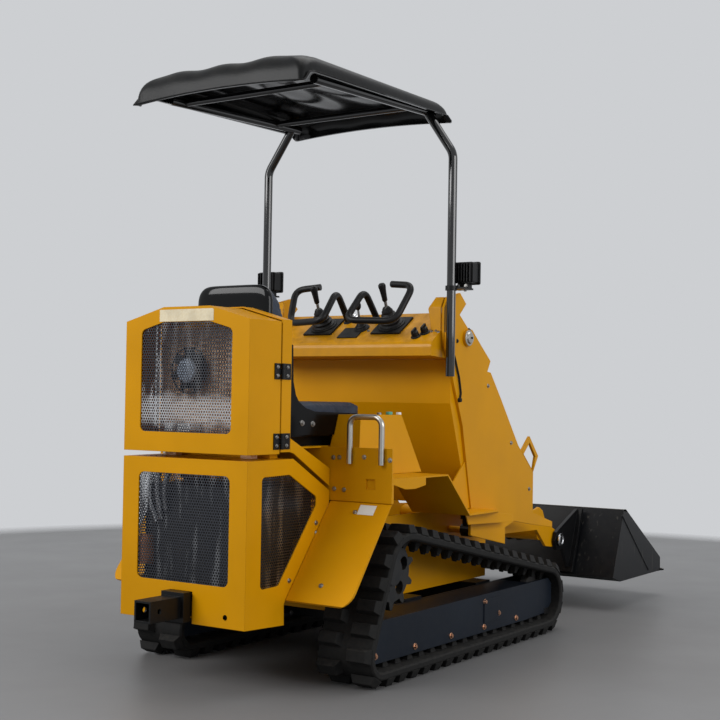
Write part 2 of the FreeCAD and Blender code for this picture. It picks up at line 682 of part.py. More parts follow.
def make_tower_plate():
    """The left side of the tower, with a nose at the deck and a tie-down loop."""
    plate = side_prism(TOWER_OUTLINE, TOWER_INNER_Y, TOWER_INNER_Y + PLATE)
    nose = side_prism([(1451, 420), (1612, 395), (1790, 372), (1790, 394), (1612, 440), (1451, 451)],
                      TOWER_INNER_Y, TOWER_INNER_Y + PLATE)
    loop = side_prism([(1512, 680), (1578, 737), (1655, 659), (1612, 598)],
                      TOWER_INNER_Y, TOWER_INNER_Y + PLATE)
    opening = side_prism([(1528, 670), (1579, 713), (1631, 658), (1612, 600)],
                         TOWER_INNER_Y - 5, TOWER_INNER_Y + PLATE + 5)
    gusset = side_prism([(1073, 655), (940, 545), (940, DECK_Z + 0.5), (1113, DECK_Z + 0.5)],
                        TOWER_INNER_Y, TOWER_INNER_Y + 5)
    return fuse([plate, nose, loop, gusset]).cut(opening)


def make_arm_pin():
    """The arm's pivot pin, which stands on the tower plate's inner face, and its cap on the outer face."""
    pin = pivot_boss(ARM_PIVOT, PIN_R, TOWER_INNER_Y - 90, TOWER_INNER_Y)
    cap = pivot_boss(ARM_PIVOT, 30, TOWER_INNER_Y + PLATE, TOWER_INNER_Y + PLATE + 8)
    return group([pin, cap])


def make_tower_wall():
    """The upright wall between the tower plates, sloping forward to the deck, with a cheek along each plate."""
    top = 1013.8                # just under the console
    upper = box(TOWER_WALL_X + 30, TOWER_WALL_X + 36, -TOWER_INNER_Y, TOWER_INNER_Y, 860, top)
    lower = side_prism([(TOWER_WALL_X + 30, 860), (TOWER_WALL_X + 36, 860), (1110, 500), (1104, 500)],
                       -TOWER_INNER_Y, TOWER_INNER_Y)
    cheek = side_prism([(TOWER_WALL_X + 30, top), (TOWER_WALL_X + 30, 860), (1104, 500), (1116, 500), (1050, 782),
                        (976, 945), (976, top)], TOWER_INNER_Y - 5, TOWER_INNER_Y)
    return fuse([upper, lower] + both_sides(cheek))


def make_console():
    """A sloping control panel: a bent sheet with a rolled rear lip and two end brackets."""
    half = TOWER_INNER_Y - 1
    profile = [(832, 1022), (838, 1022), (838, 1049), (840, 1056), (845, 1062), (852, 1067), (1002, 1170),
               (1010, 1140), (1016, 1140), (1006, 1180), (850, 1077.8), (841, 1071), (835, 1062), (832, 1052)]
    sheet = side_prism(profile, -half, half)
    under = side_prism([(838, 1022), (975, 1014), (975, 1020), (838, 1028)], -half, half)
    cheek = side_prism([(835, 1025), (975, 1017), (975, 1155), (851, 1072.5), (843, 1066.5),
                        (837.5, 1059), (835, 1050.5)], half - SHEET, half)
    bracket = side_prism([(898, 1085), (904, 1085), (904, 1188), (926, 1226), (920, 1228), (898, 1192)], 300, half)
    bracket = bracket.common(end_prism([(half, 1080), (328, 1080), (322, 1150), (314, 1186), (332, 1230),
                                        (half, 1230)], 890, 930))
    return fuse([sheet, under] + both_sides(cheek) + both_sides(bracket))


PANEL_REAR = (832.0, 1066.0)
PANEL_FRONT = (1006.0, 1180.0)
PANEL_SLOPE = math.degrees(math.atan2(PANEL_FRONT[1] - PANEL_REAR[1], PANEL_FRONT[0] - PANEL_REAR[0]))


def panel_z(x):
    """Height of the control panel over x."""
    return PANEL_REAR[1] + (x - PANEL_REAR[0]) * math.tan(math.radians(PANEL_SLOPE))


def on_panel(shape, x, y):
    """Stands a shape, made upright at the origin, square on the panel."""
    placed = shape.copy()
    placed.rotate(V(0, 0, 0), AXIS_Y, -PANEL_SLOPE)
    placed.translate(V(x, y, panel_z(x)))
    return placed


def make_hand_loops():
    """A bent bar round each joystick, mirror images: the hand rests on it."""
    points = [V(912, 155, 1281), V(894, 262, 1270), V(822, 226, 1142), V(768, 50, 1146),
              V(878, 60, 1262), V(966, 64, panel_z(966) + 4)]
    bar = rod(points, [22, 24, 22, 26], 10.5)
    foot = on_panel(cyl(0, 0, 0.5, 20, 6, AXIS_Z), 966, 64)
    return group(both_sides(fuse([bar, foot])))


def make_joysticks():
    """Two joysticks on broad rubber boots, and a short lever between them."""
    sticks = []
    for y in (-147, 147):
        plate = box(-58, 58, -62, 62, 0.5, 8)
        boot = Part.makeCone(54, 20, 40, V(0, 0, 8), AXIS_Z)
        collar = Part.makeCone(24, 12, 30, V(0, 0, 48), AXIS_Z)
        base = on_panel(fuse([plate, boot, collar]), 930, y)
        lean = V(-22, 0, 50)
        stem = Part.makeCylinder(6, 60, V(909, y, 1163), lean)
        knob = Part.makeCone(9, 14, 56, V(889, y, 1208), lean)
        sticks.append(fuse([base, stem, knob]))
    lever = fuse([cyl(0, 0, 0.5, 15, 8, AXIS_Z), cyl(0, 0, 8, 5, 24, AXIS_Z)])
    sticks.append(on_panel(lever, 919, -24))
    return group(sticks)


# ---------------------------------------------------------------- canopy
def rail_z(x):
    """Height of the middle of the side rails over x."""
    return RAIL_Z + (x - POST_X) * RAIL_SLOPE


def make_canopy_posts():
    """A tube up each side of the console that bends in under the roof."""
    tube = rod([V(POST_X, POST_Y, POST_FOOT_Z), V(POST_X, POST_Y, 1722), V(POST_X, RAIL_Y, RAIL_Z)], [70], POST_R)
    return group(both_sides(tube))


def make_canopy_rails():
    """A tube along each side under the roof, from the top of the post."""
    rear_x = ROOF_REAR_X + 120
    front_x = POST_X + 40
    rear = V(rear_x, RAIL_Y, rail_z(rear_x))
    front = V(front_x, RAIL_Y, rail_z(front_x))
    tube = Part.makeCylinder(POST_R, (front - rear).Length, rear, front - rear)
    return group(both_sides(tube))


def make_canopy_cross_tubes():
    tubes = []
    for x in CROSS_TUBE_XS:
        half = RAIL_Y - POST_R - 0.5
        tubes.append(cyl(x, -half, rail_z(x), CROSS_TUBE_R, 2 * half))
    return group(tubes)


def roof_block(inset):
    """A tapered block that stands on the side lips and slopes up to the roof's front edge."""
    loops = []
    for taper, drop, (rear_z, front_z) in ((VISOR_SLOPE, 0.5, SIDE_LIP), (VISOR_SLOPE + ROOF_TAPER, 1.0, ROOF_TOP)):
        x0, x1 = ROOF_REAR_X + inset + taper, ROOF_FRONT_X - inset - taper
        half = ROOF_HALF + VISOR_SLOPE - inset - taper
        corners = [(x0, -half, rear_z), (x1, -half, front_z), (x1, half, front_z), (x0, half, rear_z)]
        loops.append(Part.makePolygon([V(x, y, z - inset * drop) for x, y, z in corners + corners[:1]]))
    return Part.makeLoft(loops, True, True)


def make_canopy_roof():
    """A moulded roof, hollow below, whose ends hang lower than its sides and whose lip is a narrow flange."""
    top = roof_block(0.0).cut(roof_block(ROOF_SHEET))
    (rear_z, front_z), (side_rear_z, side_front_z) = VISOR_Z, SIDE_LIP
    rear_in, front_in = ROOF_REAR_X + VISOR_SLOPE, ROOF_FRONT_X - VISOR_SLOPE
    rear_visor = side_prism([(ROOF_REAR_X, rear_z), (ROOF_REAR_X + ROOF_SHEET, rear_z),
                             (rear_in + ROOF_SHEET + 1, side_rear_z + 3), (rear_in + 1, side_rear_z + 3)],
                            -ROOF_HALF, ROOF_HALF)
    front_visor = side_prism([(ROOF_FRONT_X, front_z), (ROOF_FRONT_X - ROOF_SHEET, front_z),
                              (front_in - ROOF_SHEET - 1, side_front_z + 3), (front_in - 1, side_front_z + 3)],
                             -ROOF_HALF, ROOF_HALF)
    wide = ROOF_HALF + ROOF_FLANGE
    lips = [box(ROOF_REAR_X - ROOF_FLANGE, ROOF_REAR_X + ROOF_SHEET, -wide, wide, rear_z, rear_z + ROOF_SHEET),
            box(ROOF_FRONT_X - ROOF_SHEET, ROOF_FRONT_X + ROOF_FLANGE, -wide, wide, front_z, front_z + ROOF_SHEET)]
    side_lip = side_prism([(ROOF_REAR_X - ROOF_FLANGE, rear_z), (ROOF_REAR_X + ROOF_SHEET, rear_z),
                           (rear_in + 20, side_rear_z), (front_in - 12, side_front_z),
                           (ROOF_FRONT_X - ROOF_SHEET, front_z), (ROOF_FRONT_X + ROOF_FLANGE, front_z),
                           (front_in - 6, side_front_z + ROOF_SHEET),
                           (rear_in + 14, side_rear_z + ROOF_SHEET)], ROOF_HALF - ROOF_SHEET, wide)
    return fuse([top, rear_visor, front_visor] + lips + both_sides(side_lip))


def make_work_lamps():
    """A square lamp in front of each post, on a flat bracket clamped round it."""
    body = rounded(box(938, 988, 388, 465, 1276, 1348), AXIS_X, 6)
    rim = rounded(box(981, 988, 384, 469, 1272, 1352), AXIS_X, 6)
    foot = box(944, 972, 404, 444, 1259, 1277)
    bracket = box(POST_X, 975, POST_Y - 8, 448, 1253, 1259)
    clamp = cyl(POST_X, POST_Y, 1248, POST_R + 5, 16, AXIS_Z)
    lamp = fuse([body, rim, foot, bracket, clamp]).cut(cyl(POST_X, POST_Y, 1240, POST_R, 40, AXIS_Z))
    return group(both_sides(lamp))


def make_post_feet():
    """A bracket from each tower plate that holds the foot of the post."""
    bar = box(POST_X, 960, TOWER_INNER_Y + PLATE, POST_Y - 8, 1045, 1105)
    bar = bar.cut(cyl(POST_X, POST_Y, 900, POST_R, 300, AXIS_Z))
    return group(both_sides(bar))


def make_lamp_cables():
    """The lamp's cable, from the bracket down the tower plate to a grommet in it."""
    y = TOWER_INNER_Y + PLATE + CABLE_R + 1.5
    points = [V(948, y + 2, 1042), V(972, y, 1022), V(1006, y, 950), V(1020, y, 896), V(1014, y, 878)]
    cable = rod(points, [24, 60, 24], CABLE_R)
    grommet = cyl(1012, TOWER_INNER_Y + PLATE, 873, 7.5, 10)
    return group(both_sides(fuse([cable, grommet])))


# ---------------------------------------------------------------- lift arm and cylinders
ARM_OUTLINE = [(1022, 1068), (1370, 500), (1450, 385), (1600, 352), (1885, 345), (1972, 271),
               (2045, 262), (2088, 300), (2062, 332), (1968, 372), (1940, 420), (1907, 437),
               (1870, 428), (1640, 440), (1520, 560), (1110, 1120), (1065, 1140), (1030, 1125)]


def make_lift_arm():
    """Two cranked plates, joined by cross tubes, hung from the top of the tower."""
    plates = []
    for y0, y1 in ((ARM_INNER_Y, ARM_OUTER_Y), (-ARM_OUTER_Y, -ARM_INNER_Y)):
        plates.append(side_prism(ARM_OUTLINE, y0, y1))
    tubes = []
    for x, z, r in ((1425, 540, 36), (1680, 396, 36), (1940, 330, 32)):
        tubes.append(cyl(x, -ARM_INNER_Y, z, r, 2 * ARM_INNER_Y))
    bosses = []
    for side in (1, -1):
        y0, y1 = sorted((side * ARM_INNER_Y, side * (TOWER_INNER_Y - 6)))
        bosses.append(pivot_boss(ARM_PIVOT, 34, y0, y1))
    ears = []
    for y in (-44, 34):
        ear = side_prism([(1430, 515), (1470, 520), (1520, 560), (1520, 590), (1495, 597), (1430, 568)], y, y + 10)
        ears.append(ear)
    tilt_pin = pivot_boss(TILT_BASE, PIN_R, -44, 44)
    arm = fuse(plates + tubes + bosses + ears + [tilt_pin])
    for side in (1, -1):
        y0, y1 = sorted((side * (ARM_INNER_Y - 5), side * (TOWER_INNER_Y)))
        arm = arm.cut(pivot_boss(ARM_PIVOT, PIN_R + PIN_GAP, y0, y1))
        y0, y1 = sorted((side * (ARM_INNER_Y - 5), side * (ARM_OUTER_Y + 5)))
        arm = arm.cut(pivot_boss(BUCKET_PIVOT, PIN_R + PIN_GAP, y0, y1))
    return arm


def make_barrel(base, eye, y, r):
    """A cylinder barrel with an eye at its base, bored for the rod."""
    tube = bar_between(base, eye, y, r, 40, BARREL_LENGTH)
    neck = bar_between(base, eye, y, r * 0.7, 10, 45)
    boss = pivot_boss(base, PIN_R + 11, y - EYE_HALF, y + EYE_HALF)
    barrel = fuse([tube, neck, boss])
    barrel = barrel.cut(pivot_boss(base, PIN_R + PIN_GAP, y - EYE_HALF - 5, y + EYE_HALF + 5))
    return barrel.cut(bar_between(base, eye, y, ROD_R + PIN_GAP, 60, BARREL_LENGTH + 10))


def make_rod(base, eye, y, eye_half, start):
    """A chromed rod, starting inside the barrel, with its eye."""
    length = math.dist(base, eye)
    bar = bar_between(base, eye, y, ROD_R, start, length - 18)
    boss = pivot_boss(eye, PIN_R + 10, y - eye_half, y + eye_half)
    return fuse([bar, boss])


# ---------------------------------------------------------------- bucket
def make_attach_plate():
    """The tilting plate behind the bucket: ears for the arm's pins and for the cylinder."""
    back = side_prism([(2150, 150), (2166, 146), (2268, 408), (2252, 414)], -300, 300)
    ears = []
    for y0 in (EAR_INNER_Y, -EAR_INNER_Y - 14):
        outline = [(2040, 250), (2098, 250), (2155, 165), (2252, 412), (2075, 342), (2036, 325), (2022, 290)]
        ears.append(side_prism(outline, y0, y0 + 14))
    for y0 in (-30, 18):
        outline = [(2014, 412), (2052, 405), (2190, 262), (2250, 412), (2060, 458), (2020, 452)]
        ears.append(side_prism(outline, y0, y0 + 12))
    pins = [pivot_boss(TILT_EYE, PIN_R, y0, y0 + 16) for y0 in (-34, 18)]
    for side in (1, -1):
        y0, y1 = sorted((side * (ARM_INNER_Y - 10), side * (EAR_INNER_Y + 22)))
        pins.append(pivot_boss(BUCKET_PIVOT, PIN_R, y0, y1))
        y0, y1 = sorted((side * (EAR_INNER_Y + 14), side * (EAR_INNER_Y + 22)))
        pins.append(pivot_boss(BUCKET_PIVOT, 26, y0, y1))
    return fuse([back] + ears + pins)


def make_bucket():
    """A straight-sided bucket: a bent back and floor sheet, side plates and an edge."""
    t = BUCKET_SHEET
    side_outline = [(2297, 415), (2182, 136), (2262, 112), (2735, 112), (2735, 172), (2320, 415)]
    sides = []
    for y0 in (BUCKET_HALF - t, -BUCKET_HALF):
        sides.append(side_prism(side_outline, y0, y0 + t))
    sheet = [(2297, 415), (2182, 136), (2262, 112), (2735, 112), (2735, 112 + t),
             (2263, 112 + t), (2190, 140), (2303, 413)]
    skin = side_prism(sheet, -BUCKET_HALF, BUCKET_HALF)
    top = side_prism([(2297, 415), (2330, 409), (2330, 403), (2300, 403)], -BUCKET_HALF, BUCKET_HALF)
    edge = side_prism([(2700, 112), (BUCKET_EDGE_X, 108), (BUCKET_EDGE_X, 113), (2730, 122), (2700, 122)],
                      -BUCKET_HALF, BUCKET_HALF)
    return fuse([skin, top, edge] + sides)


# ---------------------------------------------------------------- export
def export(name, shape):
    placed = shape.copy()
    placed.translate(V(-MIDDLE_X, 0, -GROUND_Z))
    placed.exportStep(f"parts/{name}.step")


os.makedirs("parts", exist_ok=True)
left_track = make_track()
left_fender = make_fender()
left_lift_barrel = make_barrel(LIFT_BASE, LIFT_EYE, LIFT_Y, LIFT_BARREL_R)
# The pin turns with the lift rod and stops short of the arm, because this is the pivot
# where the closed linkage is opened.
lift_pin = pivot_boss(LIFT_EYE, PIN_R, ARM_OUTER_Y + 1, LIFT_PIN_END_Y)
left_lift_rod = fuse([make_rod(LIFT_BASE, LIFT_EYE, LIFT_Y, EYE_HALF, LIFT_ROD_START), lift_pin])

export("chassis", make_chassis())
export("cross_members", make_cross_members())
export("track_frames", group(both_sides(make_track_frame())))
export("track_left", left_track)
export("track_right", mirrored(left_track))
export("sprockets", group(both_sides(make_sprocket())))
front_wheel = wheel_on_shaft(FRONT_WHEEL_X, FRONT_WHEEL_Z, FRONT_WHEEL_R, FRONT_SHAFT_R)
export("front_idlers", group(both_sides(front_wheel)))
rear_wheel = wheel_on_shaft(REAR_WHEEL_X, REAR_WHEEL_Z, REAR_WHEEL_R, REAR_SHAFT_R)
rollers = [rear_wheel] + [wheel_on_shaft(x, ROLLER_Z, ROLLER_R, ROLLER_SHAFT_R) for x in ROLLER_XS]
export("track_rollers", group([side for wheel in rollers for side in both_sides(wheel)]))
export("engine_box", make_engine_box())
export("engine_box_grilles", make_engine_box_grilles())
export("engine_block", make_engine_block())
export("rear_door", make_rear_door())
export("rear_door_grille", make_rear_door_grille())
export("door_hinge_leaves", make_door_hinge_leaves())
export("frame_hinge_leaves", make_frame_hinge_leaves())
export("bulkhead", make_bulkhead())
export("side_cowls", make_side_cowls())
export("radiator", make_radiator())
export("fan_motor", make_fan_motor())
export("cooling_fan", make_cooling_fan())
export("receiver_hitch", make_receiver_hitch())
export("riser_plate", make_riser_plate())
export("fender_left", left_fender)
export("fender_right", mirrored(left_fender))
export("side_tanks", make_side_tanks())
export("grab_handles", make_grab_handles())
export("seat_base", make_seat_base())
export("seat_cushion", make_seat_cushion())
export("seat_back", make_seat_back())
export("tower_plates", group(both_sides(make_tower_plate()) + both_sides(make_arm_pin())))
export("tower_wall", make_tower_wall())
export("console", make_console())
export("hand_loops", make_hand_loops())
export("joysticks", make_joysticks())
canopy_rails = make_canopy_rails()
export("canopy_rails", canopy_rails)
export("canopy_posts", make_canopy_posts().cut(canopy_rails))
export("canopy_post_feet", make_post_feet())
export("canopy_cross_tubes", make_canopy_cross_tubes())
export("canopy_roof", make_canopy_roof())
export("work_lamps", make_work_lamps())
export("lamp_cables", make_lamp_cables())
export("lift_arm", make_lift_arm())
export("lift_barrel_left", left_lift_barrel)
export("lift_barrel_right", mirrored(left_lift_barrel))
export("lift_rod_left", left_lift_rod)
export("lift_rod_right", mirrored(left_lift_rod))
export("tilt_barrel", make_barrel(TILT_BASE, TILT_EYE, 0.0, TILT_BARREL_R))
export("tilt_rod", make_rod(TILT_BASE, TILT_EYE, 0.0, TILT_EYE_HALF, TILT_ROD_START))
export("attach_plate", make_attach_plate())
export("bucket", make_bucket())
print("front wheel x", round(FRONT_WHEEL_X, 1), "middle", MIDDLE_X)
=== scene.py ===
# %% [markdown]
# # A compact track loader, finished over its CAD
# The machine is a small ride-on loader: a steel body on two rubber tracks, a seat behind a control
# console, a canopy on two posts, and a bucket on a lift arm. The CAD model already has every size
# and every joint. This lesson adds what CAD leaves out: paint, rubber, vinyl, perforated sheet,
# bolts, and the moulded and padded pieces.
# The frame is loaded first and never moved, so each new piece goes where the CAD says.

# %% Load the fixed frame
import math

import bmesh
import bpy
from mathutils import Matrix, Vector


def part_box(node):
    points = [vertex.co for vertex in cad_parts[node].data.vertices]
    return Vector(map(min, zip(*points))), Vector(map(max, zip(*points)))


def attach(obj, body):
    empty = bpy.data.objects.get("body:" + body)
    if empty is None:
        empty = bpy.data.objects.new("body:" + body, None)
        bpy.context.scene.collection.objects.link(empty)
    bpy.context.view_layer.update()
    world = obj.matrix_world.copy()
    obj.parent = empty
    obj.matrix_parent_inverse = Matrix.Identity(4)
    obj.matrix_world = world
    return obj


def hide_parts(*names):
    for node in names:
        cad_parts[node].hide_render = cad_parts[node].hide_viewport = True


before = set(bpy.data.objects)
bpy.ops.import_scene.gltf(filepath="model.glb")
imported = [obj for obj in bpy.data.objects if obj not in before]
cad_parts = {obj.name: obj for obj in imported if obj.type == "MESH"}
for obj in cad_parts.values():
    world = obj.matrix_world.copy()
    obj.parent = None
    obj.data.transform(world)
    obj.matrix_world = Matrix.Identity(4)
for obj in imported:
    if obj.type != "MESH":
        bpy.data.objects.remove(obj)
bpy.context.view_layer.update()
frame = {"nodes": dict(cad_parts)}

nodes = frame["nodes"]

# %% [markdown]
# # The camera
# The viewer stands behind the machine and to its right, with the eye at about seat height. A long
# lens keeps the sides nearly parallel. The direction is written as a turn about the vertical, a
# small pitch and a small roll, which are the three things a person does with a hand-held camera.

# %% Camera
def in_scene(name, data):
    """A new object of the scene."""
    thing = bpy.data.objects.new(name, data)
    bpy.context.scene.collection.objects.link(thing)
    return thing


eye = Vector((-4.225, -2.570, 0.879))
turn, pitch, roll = (math.radians(a) for a in (33.627, 1.731, 0.924))
lens_mm, sensor_mm = 64.0, 36.0

camera = in_scene("camera", bpy.data.cameras.new("camera"))
camera.data.lens, camera.data.sensor_width = lens_mm, sensor_mm
ahead = Vector((math.cos(turn) * math.cos(pitch), math.sin(turn) * math.cos(pitch), math.sin(pitch)))
upright = ahead.to_track_quat("-Z", "Y").to_matrix() @ Matrix.Rotation(roll, 3, "Z")
camera.matrix_world = Matrix.Translation(eye) @ upright.to_4x4()
bpy.context.scene.camera = camera
bpy.context.scene.view_settings.view_transform = "Standard"
print("the camera looks along", ahead)

# %% [markdown]
# # Shader maths as plain Python
# A material is a tree of nodes, and a long tree is hard to read. Here a small class wraps one output
# socket and overloads the arithmetic signs, so a mask is written as `1 - wear * dust` and the Math
# nodes appear by themselves. One method adds the other nodes: a node's settings go first, because
# they decide which sockets it has, and then the values or links of those sockets. The nodes that come
# up most often have short methods of their own. The same class builds the Geometry Nodes trees.

# %% A socket that adds and multiplies
class Socket:
    """One output of a node, which can be used in sums."""

    def __init__(self, tree, output):
        self.tree, self.output = tree, output

    def math(self, operation, *values):
        return self.tree.add("ShaderNodeMath", {"operation": operation}, dict(enumerate((self, *values))))

    def __add__(self, other): return self.math("ADD", other)
    def __sub__(self, other): return self.math("SUBTRACT", other)
    def __mul__(self, other): return self.math("MULTIPLY", other)
    __radd__ = __add__

    def __rsub__(self, other):
        return self.tree.add("ShaderNodeMath", {"operation": "SUBTRACT"}, {0: other, 1: self})

    def between(self, low, high):
        """0 where the value is under low, 1 where it is over high, and a straight ramp in between."""
        return self.tree.add("ShaderNodeMapRange", {"clamp": True},
                             {"Value": self, "From Min": low, "From Max": high})


# %% A tree that adds nodes
class Tree:
    """A node tree, with methods that add nodes to it."""

    def __init__(self, tree):
        self.nodes, self.links = tree.nodes, tree.links
        self.nodes.clear()

    def add(self, kind, settings=None, inputs=None, output=0):
        node = self.nodes.new(kind)
        for name, value in (settings or {}).items():
            setattr(node, name, value)
        for name, value in (inputs or {}).items():
            if isinstance(value, Socket):
                self.links.new(value.output, node.inputs[name])
            else:
                node.inputs[name].default_value = value
        return Socket(self, node.outputs[output]) if node.outputs else None

    def noise(self, place, size, detail=3.0, rough=0.5):
        """Soft noise whose blotches are about `size` metres across, from 0 to 1."""
        return self.add("ShaderNodeTexNoise", None, {"Vector": place, "Scale": 1.0 / size, "Detail": detail,
                                                     "Roughness": rough})

    def mix(self, share, first, second):
        """A colour that goes from the first to the second as share goes from 0 to 1."""
        settings = {"data_type": "RGBA", "blend_type": "MIX", "clamp_factor": True}
        return self.add("ShaderNodeMix", settings, {0: share, 6: first, 7: second}, output=2)

    def vector(self, operation, *values, output=0):
        return self.add("ShaderNodeVectorMath", {"operation": operation}, dict(enumerate(values)), output)

    def part(self, vector, axis):
        """One of a vector's three parts, numbered 0, 1 and 2."""
        return self.add("ShaderNodeSeparateXYZ", None, {0: vector}, axis)

    def attribute(self, name):
        """A vector that each point of the mesh carries under a name."""
        return self.add("GeometryNodeInputNamedAttribute", {"data_type": "FLOAT_VECTOR"}, {"Name": name})

    def joined(self, *shapes):
        node = self.nodes.new("GeometryNodeJoinGeometry")
        for shape in shapes:
            self.links.new(shape.output, node.inputs[0])
        return Socket(self, node.outputs[0])


def new_material(name):
    """A material, its empty tree, and the place on the object that is being shaded."""
    material = bpy.data.materials.new(name)
    material.use_nodes = True
    tree = Tree(material.node_tree)
    return material, tree, tree.add("ShaderNodeTexCoord", output=3)


def screen(red, green, blue):
    """The linear colour of a shade given as it looks on a screen, each part from 0 to 255."""
    def linear(c):
        c /= 255.0
        return c / 12.92 if c <= 0.04045 else ((c + 0.055) / 1.055) ** 2.4
    return (linear(red), linear(green), linear(blue), 1.0)


# %% [markdown]
# # One recipe for painted, moulded and cast surfaces
# Nearly every hard surface on the machine is made of the same layers, in different strengths. Under
# it all is a base colour that drifts a little from place to place. On top lie dust, which settles
# where a surface faces up, and scuffs, which show on outer edges. The Bevel node finds those edges:
# it gives the normal of a slightly rounded corner, and where that differs from the true normal there
# is an edge. The same normal makes the plates look as if their cut edges had been broken, as paint
# always does. A fine bump stands for the orange peel of sprayed paint or the grain of a moulding.

# %% The surface recipe
DUST = (150, 140, 122)


def surface(name, colour, rough, metallic=0.0, coat=0.0, coat_rough=0.08, drift=0.08, drift_size=0.25,
            dust=0.15, dust_colour=DUST, wear=0.0, wear_colour=DUST, edge=0.002,
            grain=0.0, grain_size=0.002, scratches=0.0, shine=0.5):
    """Colours are given as they look on a screen."""
    colour, dust_colour, wear_colour = (screen(*shade) for shade in (colour, dust_colour, wear_colour))
    material, tree, place = new_material(name)
    up = tree.part(tree.add("ShaderNodeNewGeometry", output=1), 2)

    broad = tree.noise(place, drift_size)
    mottled = tree.noise(place, drift_size * 0.12, detail=5.0)
    dark = tuple(c * (1.0 - drift) for c in colour[:3]) + (1.0,)
    pale = tuple(min(1.0, c * (1.0 + drift)) for c in colour[:3]) + (1.0,)
    tone = tree.mix(broad.between(0.35, 0.65), dark, pale)

    settled = up.between(0.3, 0.95) * 0.75 + 0.25
    dusty = settled * mottled.between(0.35, 0.75) * dust
    tone = tree.mix(dusty, tone, dust_colour)

    rounded = tree.add("ShaderNodeBevel", {"samples": 4}, {"Radius": edge})
    roughness = rough + (broad - 0.5) * (rough * 0.3) + dusty * 0.5
    if wear:
        true = tree.add("ShaderNodeNewGeometry", output=1)
        along = tree.vector("DOT_PRODUCT", rounded, true, output=1)
        chips = tree.noise(place, 0.012, detail=6.0, rough=0.7)
        worn = (1.0 - along).between(0.02, 0.22) * chips.between(0.62 - 0.25 * wear, 0.68) * wear
        tone = tree.mix(worn, tone, wear_colour)
        roughness = roughness + worn * 0.15
    if scratches:
        stretched = tree.add("ShaderNodeMapping", None, {"Vector": place, "Scale": (90.0, 90.0, 6.0)})
        lines = tree.add("ShaderNodeTexNoise", None, {"Vector": stretched, "Scale": 1.0, "Detail": 4.0})
        scraped = lines.between(0.62, 0.70) * broad.between(0.40, 0.60) * scratches
        tone = tree.mix(scraped, tone, wear_colour)
        roughness = roughness + scraped * 0.12

    normal = rounded
    if grain:
        height = tree.noise(place, grain_size, detail=2.0)
        normal = tree.add("ShaderNodeBump", None, {"Strength": 1.0, "Distance": grain, "Height": height,
                                                   "Normal": rounded})
    shader = tree.add("ShaderNodeBsdfPrincipled", None, {
        "Base Color": tone, "Roughness": roughness, "Metallic": metallic, "Coat Weight": coat,
        "Coat Roughness": coat_rough, "Specular IOR Level": shine, "Normal": normal})
    tree.add("ShaderNodeOutputMaterial", None, {"Surface": shader})
    return material


# %% [markdown]
# # Floor, background and light
# The machine stands on a grey floor. Its colour is darkest within 0.9 m of the middle and lightens
# out to 3.2 m, a painted shadow round the machine. Three large lamps give soft light: one high up
# behind its left side, one at its right and one overhead. Even light comes from all round. The floor
# is a disc that fades out before its rim, so no hard rim crosses a view from another side. The
# background is a colour that only the camera, reflections and glass see, so it doesn't add light.

# %% Floor
FLOOR_RADIUS, FADE_FROM = 4.30, 3.85
floor_mesh = bpy.data.meshes.new("floor")
floor_shape = bmesh.new()
bmesh.ops.create_circle(floor_shape, cap_ends=True, segments=96, radius=FLOOR_RADIUS)
floor_shape.to_mesh(floor_mesh)
floor = in_scene("floor", floor_mesh)

floor_paint, tree, place = new_material("floor")
blotches = tree.noise(place, 0.9, detail=4.0).between(0.3, 0.7)
radius = tree.vector("LENGTH", place, output=1)
# painted shadow: the floor is darkest within 0.9 m of the middle, where the machine's shade falls, and
# lightens out to 3.2 m
painted_shadow_fade = radius.between(0.9, 3.2)
floor_tone = tree.mix(painted_shadow_fade, screen(110, 109, 109), screen(136, 136, 137))
floor_tone = tree.mix(blotches * 0.5, floor_tone, screen(120, 120, 121))
polish = tree.noise(place, 0.35, detail=4.0) * 0.16 + 0.36
concrete = tree.add("ShaderNodeBsdfPrincipled", None, {"Base Color": floor_tone, "Roughness": polish,
                                                       "Specular IOR Level": 0.3})
clear = tree.add("ShaderNodeBsdfTransparent")
faded = tree.add("ShaderNodeMixShader", None, {0: radius.between(FADE_FROM, FLOOR_RADIUS - 0.02), 1: concrete,
                                               2: clear})
tree.add("ShaderNodeOutputMaterial", None, {"Surface": faded})
floor_mesh.materials.append(floor_paint)
print("the floor is", 2 * FLOOR_RADIUS, "m across")

# %% Background and light
world = bpy.data.worlds.new("world")
bpy.context.scene.world = world
world.use_nodes = True
tree = Tree(world.node_tree)
rays = [tree.add("ShaderNodeLightPath", output=i) for i in (0, 3, 6)]
seen = (rays[0] + rays[1] + rays[2]).math("MINIMUM", 1.0)
AMBIENT, BACKDROP = 0.37, screen(205, 207, 210)
lit = tree.add("ShaderNodeBackground", None, {"Color": (0.96, 0.98, 1.0, 1.0), "Strength": AMBIENT})
shown = tree.add("ShaderNodeBackground", None, {"Color": BACKDROP, "Strength": 1.0})
background = tree.add("ShaderNodeMixShader", None, {0: seen, 1: lit, 2: shown})
tree.add("ShaderNodeOutputWorld", None, {"Surface": background})


def soft_light(name, place, target, size, power):
    lamp = in_scene(name, bpy.data.lights.new(name, "AREA"))
    lamp.data.shape, lamp.data.size, lamp.data.size_y, lamp.data.energy = "RECTANGLE", *size, power
    toward = (Vector(target) - Vector(place)).to_track_quat("-Z", "Y")
    lamp.matrix_world = Matrix.Translation(place) @ toward.to_matrix().to_4x4()
    lamp.visible_camera = False


soft_light("hall windows", (-5.2, 2.2, 3.6), (0.0, 0.0, 0.7), (4.0, 2.5), 210.0)
soft_light("open side", (-0.5, -6.0, 2.6), (0.0, 0.0, 0.7), (5.0, 2.5), 165.0)
soft_light("roof lights", (0.5, -0.5, 5.5), (0.0, 0.0, 0.0), (4.0, 4.0), 110.0)
print("the lamps are up")

